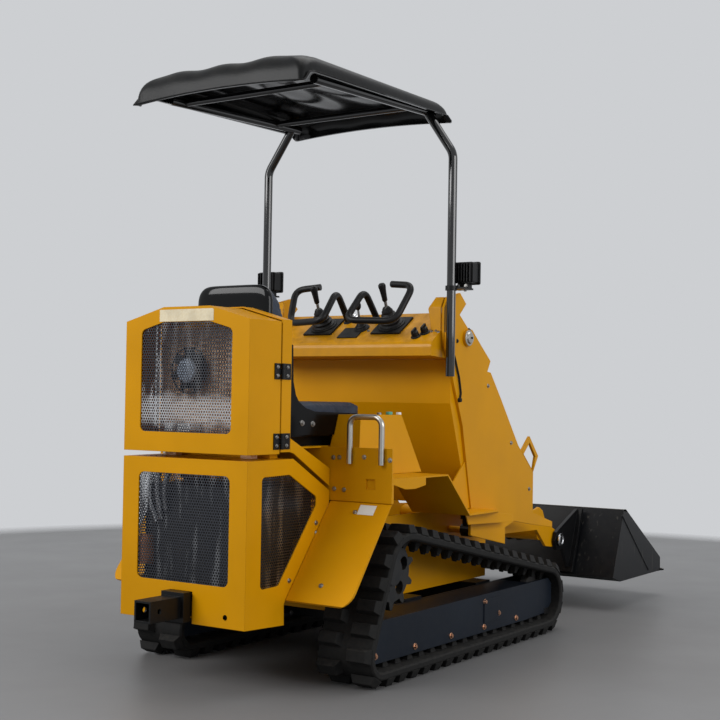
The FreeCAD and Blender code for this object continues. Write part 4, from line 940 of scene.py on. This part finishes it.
vinyl = surface("wrinkled vinyl", (46, 54, 68), 0.44, coat=0.05, dust=0.03, shine=0.20, edge=0.003,
                grain=0.0004, grain_size=0.003, drift=0.15, drift_size=0.05)


VOXEL, WRINKLE, WRINKLE_SIZE = 0.006, 0.0016, 0.022
TRAVEL = 0.010                  # how far the filling may push a point


def pad(name, shape):
    """A closed form blown up by a cloth simulation, with wrinkles; gives a plain mesh."""
    soft = in_scene(name, to_mesh(name, [(shape, vinyl)]))
    remesh = soft.modifiers.new("even faces", "REMESH")
    remesh.mode, remesh.voxel_size, remesh.use_smooth_shade = "VOXEL", VOXEL, True
    even = modified(soft)
    soft.modifiers.clear()
    soft.data = even
    rest = [v.co.copy() for v in even.vertices]
    cloth = soft.modifiers.new("filling", "CLOTH")
    cloth.settings.use_pressure, cloth.settings.uniform_pressure_force = True, 4.0
    cloth.settings.effector_weights.gravity = 0.0
    cloth.settings.quality = 5
    for step in range(1, 21):
        bpy.context.scene.frame_set(step)
    filled = modified(soft)
    soft.modifiers.clear()
    soft.data = even = filled
    bpy.context.scene.frame_set(1)
    for v, start in zip(even.vertices, rest):
        way = v.co - start
        if way.length > TRAVEL:
            v.co = start + way.normalized() * TRAVEL
    normals = [v.normal.copy() for v in even.vertices]
    for v, normal in zip(even.vertices, normals):
        fold = noise.noise(v.co / WRINKLE_SIZE) + 0.5 * noise.noise(v.co / (WRINKLE_SIZE * 0.45))
        v.co += normal * WRINKLE * (1.0 - 2.0 * abs(fold))
    even.polygons.foreach_set("use_smooth", [True] * len(even.polygons))
    if not even.materials:
        even.materials.append(vinyl)
    bpy.data.objects.remove(soft)
    return even


# %% Cushion and backrest
SWELL_ROOM = 0.008


def crowned(low, high, crown, radius):
    """A slab with rounded edges whose top is higher in the middle."""
    slab = brick(low, high, radius, steps=4)
    mid, half = (Vector(low) + Vector(high)) / 2, (Vector(high) - Vector(low)) / 2
    for p in slab[0]:
        if p.z > mid.z:
            p.z += crown * (1 - ((p.x - mid.x) / half.x) ** 2) * (1 - ((p.y - mid.y) / half.y) ** 2)
    return slab


room = Vector((SWELL_ROOM, SWELL_ROOM, 0.0))
cushion_shape = crowned(pad_lo + room + Z * 0.002, pad_hi - room - Z * 0.013, 0.010, 0.020)
cushion = add_piece("seat_cushion_pad", pad("cushion", cushion_shape), "machine",
                    ["seat_cushion"])

half_outline = [(0.138, back_lo.z + 0.008), (0.148, back_lo.z + 0.030), (0.153, 1.047), (0.139, 1.133),
                (0.117, 1.191), (0.080, back_hi.z - 0.008)]
back_outline = half_outline + [(-y, z) for y, z in half_outline[::-1]]
back_shape = softened(prism(back_outline, back_lo.x + 0.006, back_hi.x - 0.008, axis="x"), 0.020, steps=4)
backrest = add_piece("seat_back_pad", pad("backrest", back_shape), "machine", ["seat_back"])

# %% [markdown]
# # Joysticks
# Two joysticks and a short lever stand on the sloping console. Each joystick has a pleated rubber boot
# on a broad flange, a thin stem, and a grip that is thicker at its top. A boot is a turned part whose
# outline goes in and out, so it is made on the lathe from a list of radii and heights.

# %% The console's plane
console_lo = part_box("console")[0]
panel_rear = Vector((console_lo.x, 0.0, console_lo.z + 0.052))
panel_way = Vector((0.174, 0.0, 0.114)).normalized()
panel_up = Vector((-panel_way.z, 0.0, panel_way.x))


def on_panel(x, y):
    """The point of the console's face over x and y."""
    return panel_rear + panel_way * ((x - panel_rear.x) / panel_way.x) + Y * y


panel_frame = axes(panel_way, Y, panel_up)
rubber_boot = surface("boot rubber", (13, 13, 15), 0.52, dust=0.10, shine=0.25, edge=0.001,
                      grain=0.0001, grain_size=0.002)
print("the console slopes by", round(math.degrees(math.atan2(panel_way.z, panel_way.x)), 1), "degrees")

# %% Joysticks with pleated boots
STICK_X, STICK_Y, LEVER_X, LEVER_Y = -0.379, 0.147, -0.390, -0.024
STICK_WAY, LEVER_WAY = Vector((-0.40, 0.0, 0.916)).normalized(), Vector((-0.25, 0.0, 0.97))


def boot(radius, neck, height, pleats):
    outline = [(radius, 0.0), (radius, 0.004)]
    for i in range(pleats):
        t = i / pleats
        r = radius * 0.86 * (1 - t) + neck * t
        outline += [(r, 0.005 + height * t), (r * 0.99, 0.005 + height * (t + 0.25 / pleats)),
                    (r * 0.80, 0.005 + height * (t + 0.65 / pleats))]
    return outline + [(neck, 0.005 + height), (neck * 0.75, 0.010 + height)]


def joystick(y):
    foot = on_panel(STICK_X, y)
    flange = brick((-0.056, -0.060, 0.0005), (0.056, 0.060, 0.007), 0.0028, steps=3)
    flange = placed(flange, Matrix.Translation(foot) @ panel_frame)
    bellows = turned(boot(0.050, 0.015, 0.062, 5), foot + panel_up * 0.007, panel_up, 32)
    start = foot + panel_up * 0.060
    stem = turned([(0.0055, 0.0), (0.0055, 0.045)], start, STICK_WAY, 12)
    grip = turned([(0.0075, 0.040), (0.0095, 0.044), (0.0100, 0.060), (0.0118, 0.082), (0.0135, 0.094),
                   (0.0130, 0.101), (0.0080, 0.106), (0.0, 0.107)], start, STICK_WAY, 20)
    return [(flange, rubber_boot), (bellows, rubber_boot), (stem, steel), (grip, plastic)]


sticks = joystick(STICK_Y) + joystick(-STICK_Y)
foot = on_panel(LEVER_X, LEVER_Y)
small_boot = turned(boot(0.030, 0.008, 0.020, 3), foot + panel_up * 0.0005, panel_up, 24)
lever = turned([(0.004, 0.0), (0.004, 0.060)], foot + panel_up * 0.020, LEVER_WAY, 10)
knob = turned([(0.0, 0.050), (0.006, 0.052), (0.0115, 0.060), (0.0125, 0.070), (0.0095, 0.080), (0.0, 0.083)],
              foot + panel_up * 0.020, LEVER_WAY, 18)
sticks += [(small_boot, rubber_boot), (lever, steel), (knob, plastic)]
make("joysticks_with_boots", "machine", sticks, ["joysticks"])

# %% [markdown]
# # The hand loops
# The operator steadies both hands on a bent bar round each joystick. On the machine it is steel tube,
# bent cold over a wheel and pushed into a thick rubber sleeve, so no bend is sharp and the bar looks
# heavier than its tube. One path is drawn for the left loop, and the right loop is its mirror image.

# %% Sleeved bars
loops_lo, loops_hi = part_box("hand_loops")
SLEEVE, BEND = 0.0122, 0.040
panel_normal = Vector((-0.548, 0.0, 0.837))
foot_place = Vector((-0.343, 0.064, 1.160))
loop_corners = [(-0.397, 0.155, loops_hi.z - SLEEVE), (-0.415, loops_hi.y - SLEEVE, 1.277),
                (-0.487, 0.226, 1.149), (loops_lo.x + SLEEVE, 0.050, 1.153), (-0.431, 0.060, 1.266),
                foot_place]
sleeve = pipe(smooth_path(loop_corners, BEND, 10), SLEEVE, 16)
loop_foot = turned([(0.0, 0.0), (0.020, 0.0), (0.020, 0.004), (0.016, 0.007), (0.0, 0.007)],
                   foot_place - panel_normal * 0.003, panel_normal, 24)
make("hand_loop_sleeves", "machine", both([(sleeve, plastic), (loop_foot, plastic)]),
     ["hand_loops"])

# %% [markdown]
# # What shows through the mesh
# Through the perforated door one sees the radiator, the fan with a grey boss in its middle, a
# stiffening strip whose white is a painted highlight of a bright edge, and two small boxes. The
# radiator's face is a row of upright brass tubes. Through the lower panel one sees bright coolant pipes
# and a rusty canister. They show only in pieces through the holes, so simple turned and bent parts are
# enough, each at its right depth.

# %% Fan, pipes and boxes
radiator_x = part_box("radiator")[0].x
fan_lo, fan_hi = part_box("cooling_fan")
fan_middle = (fan_lo + fan_hi) / 2
RING_RADIUS, RING_STEPS = 0.071, 36          # the ring stands just outside the blade tips
BOX_Z, TUBE_Z = (0.771, 0.796), (0.755, 1.060)
fan_grey = surface("fan boss", (176, 190, 208), 0.4, metallic=0.2, dust=0.1)
white_box = surface("white moulding", (246, 247, 248), 0.5, dust=0.02)
rusty = surface("rusty canister", (196, 128, 84), 0.6, dust=0.2, drift=0.3, drift_size=0.04)
boss = turned([(0.038, 0.0), (0.038, 0.003), (0.034, 0.008), (0.014, 0.011), (0.0, 0.012)],
              (fan_lo.x, fan_middle.y, fan_middle.z), -X, 28)
make("fan_boss", "cooling_fan", [(boss, fan_grey)])

circle = [(fan_middle.x, fan_middle.y + RING_RADIUS * math.cos(a), fan_middle.z + RING_RADIUS * math.sin(a))
          for a in (2 * math.pi * i / RING_STEPS for i in range(RING_STEPS))]
disc = turned([(0.0, 0.0), (0.056, 0.0), (0.056, 0.002), (0.0, 0.002)],
              (fan_hi.x + 0.001, fan_middle.y, fan_middle.z), X, 36)
shroud = [(pipe(circle, 0.0025, 8, closed=True), plastic), (disc, plastic)]
boxes = [(brick((radiator_x - 0.046, y0, BOX_Z[0]), (radiator_x, y1, BOX_Z[1]), 0.003), white_box)
         for y0, y1 in ((0.023, 0.072), (0.092, 0.126))]
TUBE_PITCH, TUBE_COUNT = 0.011, 33
CORE_FACE = radiator_x + 0.006
tube_brass = surface("radiator tube", (212, 170, 132), 0.5, metallic=0.1, dust=0.1)
tubes = [(block((CORE_FACE - 0.0025, y - 0.001, TUBE_Z[0]), (CORE_FACE + 0.001, y + 0.001, TUBE_Z[1])),
          tube_brass) for y in (TUBE_PITCH * (i - (TUBE_COUNT - 1) / 2) for i in range(TUBE_COUNT))]
pipes = [(pipe(smooth_path(path, 0.03), 0.009, 10), chrome) for path in (
    [(-1.284, 0.165, 0.668), (-1.284, 0.160, 0.57), (-1.270, 0.140, 0.49)],
    [(-1.284, 0.120, 0.668), (-1.284, 0.128, 0.58), (-1.270, 0.118, 0.50)],
    [(-1.286, 0.075, 0.668), (-1.284, 0.098, 0.59), (-1.270, 0.100, 0.53)])]
canister = turned([(0.0, 0.0), (0.020, 0.0), (0.024, 0.004), (0.024, 0.080), (0.018, 0.090), (0.0, 0.092)],
                  (-1.276, 0.172, 0.360), Z, 20)
make("engine_bay_parts", "machine", shroud + boxes + tubes + pipes + [(canister, rusty)])
# painted highlight: the strip's white stands for light caught along a bright edge
painted_highlight_strip = brick((grille_hi.x + 0.004, 0.124, 0.790), (grille_hi.x + 0.006, 0.130, 1.096), 0.0006)
make("door_stiffener", "rear_door", [(painted_highlight_strip, white_box)])

# %% [markdown]
# # Bolts, hinges and labels
# The plates are held by small hexagon bolts in washers, which catch the light and give the machine
# its scale. The tree that was built for screws sets them all out. Each list below holds places in
# metres on the CAD part that the bolts go through. Bolts that move with a body belong to that body's
# own piece. The machine's labels are left blank: they are thin worn stickers with nothing on them.

# %% The machine's bolts
# Width and height of the head, and width of the washer
SMALL, TINY, LARGE = (0.011, 0.005, 0.016), (0.009, 0.004, 0.012), (0.015, 0.007, 0.022)
TO_RIGHT, TO_REAR, DOWN = (0, -1, 0), (-1, 0, 0), (0, 0, -1)
HINGE_SIDE, HINGE_HEIGHTS = -0.2485, (0.747, 0.957)
riser_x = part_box("grab_handles")[1].x
tower_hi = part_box("tower_plates")[1]
track_frame_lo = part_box("track_frames")[0]
guard_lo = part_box("fender_right")[0]
copper = surface("plated bolt", (200, 150, 120), 0.35, metallic=1.0, dust=0.2, edge=0.001)


def facing(way, points):
    """Places for screws that all face one way."""
    return [(point, way) for point in points]


def hinge_screws(x):
    """Two screws in each of the two leaves that stand at x."""
    points = [(x, HINGE_SIDE, z + dz) for z in HINGE_HEIGHTS for dz in (-0.013, 0.013)]
    return screws(facing(TO_RIGHT, points), *TINY, steel)


def on_both_sides(places):
    """Adds the mirror image of each (point, facing) place."""
    return places + [tuple((x, -y, z) for x, y, z in place) for place in places]


RISER_BOLTS = [(0.256, 0.692), (0.279, 0.693), (0.373, 0.697), (0.468, 0.691), (0.261, 0.593), (0.298, 0.592)]
GUARD_BOLTS = [(0.330, 0.357), (0.062, 0.350)]
BOX_BOLTS = [(-0.962, 0.490), (-0.961, 0.459), (-1.097, 0.325)]
PLATE_BOLTS = [(-0.079, 0.933), (0.111, 0.722), (0.268, 0.541)]
DARK_BOLTS = [(-0.229, 1.129), (-0.314, 1.086)]
FRAME_BOLTS = [(-0.919, 0.093), (-0.684, 0.089), (-0.450, 0.089), (-0.216, 0.086), (0.032, 0.085),
               (-0.211, 0.173), (-0.107, 0.121)]
BOX_SIDE, PLATE_SIDE, BOX_REAR = -0.245, -0.375, -1.309
guard_foot, guard_top = Vector((guard_lo.x, 0.0, guard_lo.z + 0.006)), Vector((riser_x - 0.001, 0.0, 0.553))
guard_way = (guard_top - guard_foot).normalized()
guard_out = Vector((-guard_way.z, 0.0, guard_way.x))
guard_places = facing(guard_out, [guard_foot + guard_way * along - Y * y for along, y in GUARD_BOLTS])
steel_places = facing(TO_REAR, [(riser_x, -y, z) for y, z in RISER_BOLTS])
steel_places += facing(TO_RIGHT, [(x, BOX_SIDE, z) for x, z in BOX_BOLTS]) + guard_places
steel_places += facing(TO_RIGHT, [(x, PLATE_SIDE, z) for x, z in PLATE_BOLTS])
dark_places = facing(TO_RIGHT, [(x, PLATE_SIDE, z) for x, z in DARK_BOLTS] + [(-1.084, BOX_SIDE, 0.227)])
dark_places += facing(TO_REAR, [(BOX_REAR, y, 0.234) for y in (-0.172, 0.172)])
frame_places = facing(TO_RIGHT, [(x, track_frame_lo.y, z) for x, z in FRAME_BOLTS])
machine_bolts = [
    screws(on_both_sides(steel_places), *SMALL, steel),
    screws(on_both_sides(dark_places), *SMALL, black_paint),
    screws(on_both_sides(frame_places), *LARGE, copper),
    hinge_screws(-1.127)]

# %% Pivot caps, cover plates and blank labels
CAP = [(0.028, 0.0), (0.028, 0.003), (0.022, 0.0045), (0.019, 0.010), (0.012, 0.012), (0.0, 0.0125)]
arm_pivot = Vector((-0.244, tower_hi.y, 1.100))
pivot_cap = turned(CAP, arm_pivot, Y, 32)
nipple = turned([(0.004, 0.0), (0.004, 0.004), (0.0, 0.006)], arm_pivot + Y * 0.012, Y, 10)
cover = brick((-0.219, -track_frame_lo.y, 0.100), (-0.110, -track_frame_lo.y + 0.003, 0.181), 0.0012)
# painted shade: a flat black plate stands for the dark inside of a slot in each track frame
painted_shade_slot = brick((0.270, -track_frame_lo.y - 0.001, 0.067), (0.305, -track_frame_lo.y + 0.0008, 0.090), 0.0006)
blank_white = surface("blank sticker", (232, 231, 226), 0.5, dust=0.14,
                      dust_colour=(150, 140, 110), drift=0.1)
worn_cream = surface("worn sticker", (226, 214, 184), 0.6, dust=0.9, dust_colour=(190, 150, 70),
                     drift=0.12, drift_size=0.05)
door_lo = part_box("rear_door")[0]
sticker = placed(brick((-0.426, 0.322, 0.0002), (-0.366, 0.358, 0.0007), 0.0002, steps=1),
                 Matrix.Translation(guard_foot) @ axes(Y, guard_way, guard_out))
sticker = outward(sticker)
pairs = [(pivot_cap, finish["satin_steel"]), (nipple, black_paint), (cover, finish["frame_paint"]),
         (painted_shade_slot, plastic)]
make("machine_bolts", "machine", machine_bolts + both(pairs) + [(sticker, blank_white)])

door_label = prism([(-0.107, 1.104), (0.107, 1.104), (0.107, 1.140), (0.102, 1.1405), (-0.101, 1.141),
                    (-0.107, 1.138)], door_lo.x - 0.0006, door_lo.x + 0.0002, axis="x")
make("door_hinge_bolts", "rear_door", [hinge_screws(-1.176), (door_label, worn_cream)])

pin_head = turned([(0.027, 0.0), (0.027, 0.004), (0.018, 0.006), (0.016, 0.003), (0.0, 0.003)],
                  (0.751, 0.289, 0.300), Y, 32)
make("bucket_pin_heads", "bucket", both([(pin_head, chrome)]))

# %% [markdown]
# # Lamps, switches, caps and edges
# The last small parts: cooling fins and a lens on each work lamp, rotary switches and a black blanking
# plate on the console, caps on the tanks, and a folded rib, a rolled lip and a wear edge on the bucket.

# %% Lamp fins, lens and bolts
LAMP_REAR, LAMP_FRONT, LAMP_Z0, LAMP_Z1 = -0.371, -0.321, 1.283, 1.355
lens_glass = surface("lamp lens", (196, 200, 204), 0.12, metallic=0.6, dust=0.1, drift=0.2,
                     drift_size=0.01)
FIN_Y, FIN_PITCH, FIN_COUNT, FIN_HALF = 0.394, 0.0108, 7, 0.0016
fins = [(brick((LAMP_REAR - 0.012, y - FIN_HALF, LAMP_Z0 + 0.004),
               (LAMP_REAR + 0.002, y + FIN_HALF, LAMP_Z1 - 0.004), 0.001), plastic)
        for y in (FIN_Y + FIN_PITCH * i for i in range(FIN_COUNT))]
lens = brick((LAMP_FRONT - 0.001, 0.396, LAMP_Z0 + 0.008), (LAMP_FRONT + 0.002, 0.457, LAMP_Z1 - 0.008),
             0.0015)
lamp_bolts = facing(DOWN, [(-0.352, 0.426, 1.260)])
lamp_bolts += facing(TO_REAR, [(-0.374, y, 1.272) for y in (0.410, 0.440)])
make("lamp_details", "machine",
     both(fins + [(lens, lens_glass)]) + [screws(on_both_sides(lamp_bolts), 0.010, 0.005, 0.014, steel)])

# %% Console switches
def knob(x, y):
    radius, height, foot = 0.013, 0.020, on_panel(x, y)
    base = turned([(radius * 1.35, 0.0), (radius * 1.35, 0.003), (radius * 1.05, 0.005), (radius, height),
                   (radius * 0.8, height + 0.002), (0.0, height + 0.002)], foot, panel_up, 20)
    grip = brick((-radius * 1.1, -radius * 0.28, height), (radius * 1.1, radius * 0.28, height + 0.010),
                 0.002)
    return [(base, plastic), (placed(grip, Matrix.Translation(foot) @ panel_frame), plastic)]


blank = brick((-0.034, -0.042, 0.0004), (0.034, 0.042, 0.004), 0.0018)
blank = placed(blank, Matrix.Translation(on_panel(-0.416, 0.004)) @ panel_frame)
ring = turned([(0.016, 0.0), (0.016, 0.004), (0.012, 0.006), (0.010, 0.004), (0.0, 0.004)],
              on_panel(-0.318, 0.058), panel_up, 20)
PANEL_SCREWS = [(-0.403, -0.063), (-0.413, -0.331), (-0.410, -0.346), (-0.416, -0.358)]
panel_screws = facing(panel_up, [on_panel(x, y) for x, y in PANEL_SCREWS])
make("console_switches", "machine", knob(-0.420, -0.308) + knob(-0.442, -0.284)
     + [(blank, rubber_boot), (ring, chrome), screws(panel_screws, 0.009, 0.004, 0.013, steel)])

# %% Tank caps
tank_top, CAP_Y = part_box("side_tanks")[1].z, 0.277
teal = surface("teal cap", (90, 172, 150), 0.5, dust=0.1)


def cap(x, radius, height, material):
    return (turned([(radius, 0.0), (radius, height * 0.8), (radius * 0.8, height), (0.0, height)],
                   (x, CAP_Y, tank_top), Z, 18), material)


caps = [cap(-0.657, 0.008, 0.007, steel), cap(-0.595, 0.011, 0.010, teal),
        cap(-0.535, 0.009, 0.008, white_box)]
make("tank_caps", "machine", both(caps))

# %% Bucket rib, lip and edge
bucket_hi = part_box("bucket")[1]
bucket_side = bucket_hi.y
worn_edge = surface("soil-polished steel", (120, 116, 110), 0.42, metallic=0.7, drift=0.2,
                    drift_size=0.05, dust=0.4, scratches=0.6, wear_colour=(180, 176, 170), edge=0.002)
rib_path = [(0.968, bucket_side - 0.001, 0.398), (1.277, bucket_side - 0.001, 0.137)]
rib = pipe(rib_path, 0.0045, 6)
lip_outline = [(0.986, bucket_hi.z - 0.006), (0.992, bucket_hi.z + 0.001), (1.022, bucket_hi.z - 0.005),
               (1.021, bucket_hi.z - 0.011)]
edge_outline = [(1.415, 0.1215), (1.415, 0.1305), (1.440, 0.1285), (1.4735, 0.1205), (1.4735, 0.1155)]
lip, edge = (softened(prism(outline, -bucket_side, bucket_side, axis="y"), radius)
             for outline, radius in ((lip_outline, 0.0015), (edge_outline, 0.001)))
make("bucket_edges", "bucket", both([(rib, finish["bucket_paint"])])
     + [(lip, worn_edge), (edge, worn_edge)])

# %% [markdown]
# # The rubber tracks
# A rubber track is one moulded belt. Outside it has two staggered rows of chunky tread lugs, whose
# sides slope so that they leave the mould and shed mud; inside, small pointed guide lugs keep it on the
# wheels. The belt runs round three circles: the sprocket and the two end wheels. So its line is worked
# out like a drive belt's, from arcs and common tangents, and the tree sets one lug at each of its 42
# links. That is the rule of the real thing, and each lug sits square on the belt wherever it is.

# %% The belt's line
track_lo, track_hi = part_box("track_left")
sprocket_lo, sprocket_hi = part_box("sprockets")
idler_lo, idler_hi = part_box("front_idlers")
roller_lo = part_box("track_rollers")[0]
LINK_COUNT, LUG, BAND, LINK = 42, 0.024, 0.012, 0.073
REAR_R, FRONT_R, SPROCKET_R = 0.061, 0.102, 10 * LINK / (2 * math.pi)
ground_run = track_lo.z + LUG + BAND
circles = [(roller_lo.x + 0.048, ground_run + REAR_R, REAR_R),
           ((sprocket_lo.x + sprocket_hi.x) / 2, (sprocket_lo.z + sprocket_hi.z) / 2, SPROCKET_R),
           ((idler_lo.x + idler_hi.x) / 2, ground_run + FRONT_R, FRONT_R)]


def belt_spans():
    """For each circle: where the belt meets it and leaves it, as angles, and the straight run after it."""
    leaves = []
    for here, there in zip(circles, circles[1:] + circles[:1]):
        heading = math.atan2(there[1] - here[1], there[0] - here[0])
        leaves.append(heading + math.acos((here[2] - there[2]) / math.dist(here[:2], there[:2])))
    spans = []
    for i, (x, z, r) in enumerate(circles):
        arrive, leave, after = leaves[i - 1], leaves[i], circles[(i + 1) % 3]
        while leave > arrive:
            leave -= 2 * math.pi
        run = math.sqrt(math.dist((x, z), after[:2]) ** 2 - (r - after[2]) ** 2)
        spans.append((x, z, r, arrive, leave, run))
    return spans


spans = belt_spans()
belt_length = sum(r * (arrive - leave) + run for _, _, r, arrive, leave, run in spans)
print("the belt is", round(belt_length, 3), "m round, which is", round(belt_length / LINK_COUNT, 4),
      "m for each link")


def belt_place(distance):
    """The point, the outward direction and the direction of travel at a distance along the belt."""
    distance %= belt_length
    for x, z, r, arrive, leave, run in spans:
        arc = r * (arrive - leave)
        angle = arrive - min(distance, arc) / r
        out = Vector((math.cos(angle), 0.0, math.sin(angle)))
        along = Vector((out.z, 0.0, -out.x))
        if distance <= arc + run:
            return Vector((x, 0.0, z)) + out * r + along * max(0.0, distance - arc), out, along
        distance -= arc + run


# %% The tree for lugs
LUG_SIZES = ("Lug length", "Lug width", "Lug height", "Top share")
lug_group, tree, given = new_tree("track lugs", LUG_SIZES)
base_radius = math.sqrt(0.5)
lug = tree.add("GeometryNodeMeshCone", None, {
    "Vertices": 4, "Side Segments": 2, "Radius Top": given["Top share"] * base_radius,
    "Radius Bottom": base_radius, "Depth": given["Lug height"]})
lug = tree.add("GeometryNodeTransform", None, {"Geometry": lug, "Rotation": (0.0, 0.0, math.radians(45))})
lug_size = tree.add("ShaderNodeCombineXYZ", None, {0: given["Lug length"], 1: given["Lug width"], 2: 1.0})
lug = tree.add("GeometryNodeTransform", None, {"Geometry": lug, "Scale": lug_size})
upright_turn = tree.add("FunctionNodeAlignRotationToVector", {"axis": "Z"},
                        {"Vector": tree.attribute("outward")})
lug_turn = tree.add("FunctionNodeAlignRotationToVector", {"axis": "X", "pivot_axis": "Z"},
                    {"Rotation": upright_turn, "Vector": tree.attribute("along")})
lugs = tree.add("GeometryNodeInstanceOnPoints", None, {"Points": given["Start"], "Instance": lug,
                                                       "Rotation": lug_turn})
end_tree(tree, lugs, given["Finish"])

SUNK = 0.001                            # how deep the foot of a lug stands in the belt
TREAD_LUG, GUIDE_LUG = (0.045, 0.088, LUG + SUNK, 0.74), (0.034, 0.022, 0.027, 0.42)


def lug_row(y, phase, lug_size, inside=False):
    """One row of lugs round the belt, at y, on its outside or its inside."""
    places = [belt_place(phase + i * belt_length / LINK_COUNT) for i in range(LINK_COUNT)]
    turn = -1 if inside else 1
    start = plain_mesh("links", [p + out * (BAND - SUNK) * turn + Y * y for p, out, _ in places])
    give(start, "outward", [out * turn for _, out, _ in places])
    give(start, "along", [along for _, _, along in places])
    return as_shape(grow(lug_group, start, dict(zip(LUG_SIZES, lug_size)), rubber))


# %% Belt and lugs
phase = spans[0][2] * (spans[0][3] - spans[0][4]) + spans[0][5]
EDGE = 0.005
y0, y1 = track_lo.y, track_hi.y
section = [(y0 + EDGE, BAND), (y1 - EDGE, BAND), (y1, BAND - EDGE), (y1, -BAND + EDGE), (y1 - EDGE, -BAND),
           (y0 + EDGE, -BAND), (y0, -BAND + EDGE), (y0, BAND - EDGE)]
steps, count = LINK_COUNT * 5, len(section)
belt_points, belt_faces = [], []
for i in range(steps):
    point, out, along = belt_place(i * belt_length / steps)
    belt_points += [point + out * lift + Y * y for y, lift in section]
    belt_faces += band(i * count, (i + 1) % steps * count, count)
belt = outward((belt_points, belt_faces))
TREAD_IN, DRIVE_Y, GUIDE_OFF = 0.044, 0.394, 0.027
rows = [lug_row(y1 - TREAD_IN, phase, TREAD_LUG), lug_row(y0 + TREAD_IN, phase + LINK / 2, TREAD_LUG)]
rows += [lug_row(DRIVE_Y + off, phase + LINK / 2, GUIDE_LUG, inside=True) for off in (GUIDE_OFF, -GUIDE_OFF)]
track = [(shape, rubber) for shape in [belt] + rows]
far_track = [(mirrored(shape), material) for shape, material in track]
make("rubber_track_left", "machine", track, ["track_left"], smooth=30.0)
make("rubber_track_right", "machine", far_track, ["track_right"], smooth=30.0)
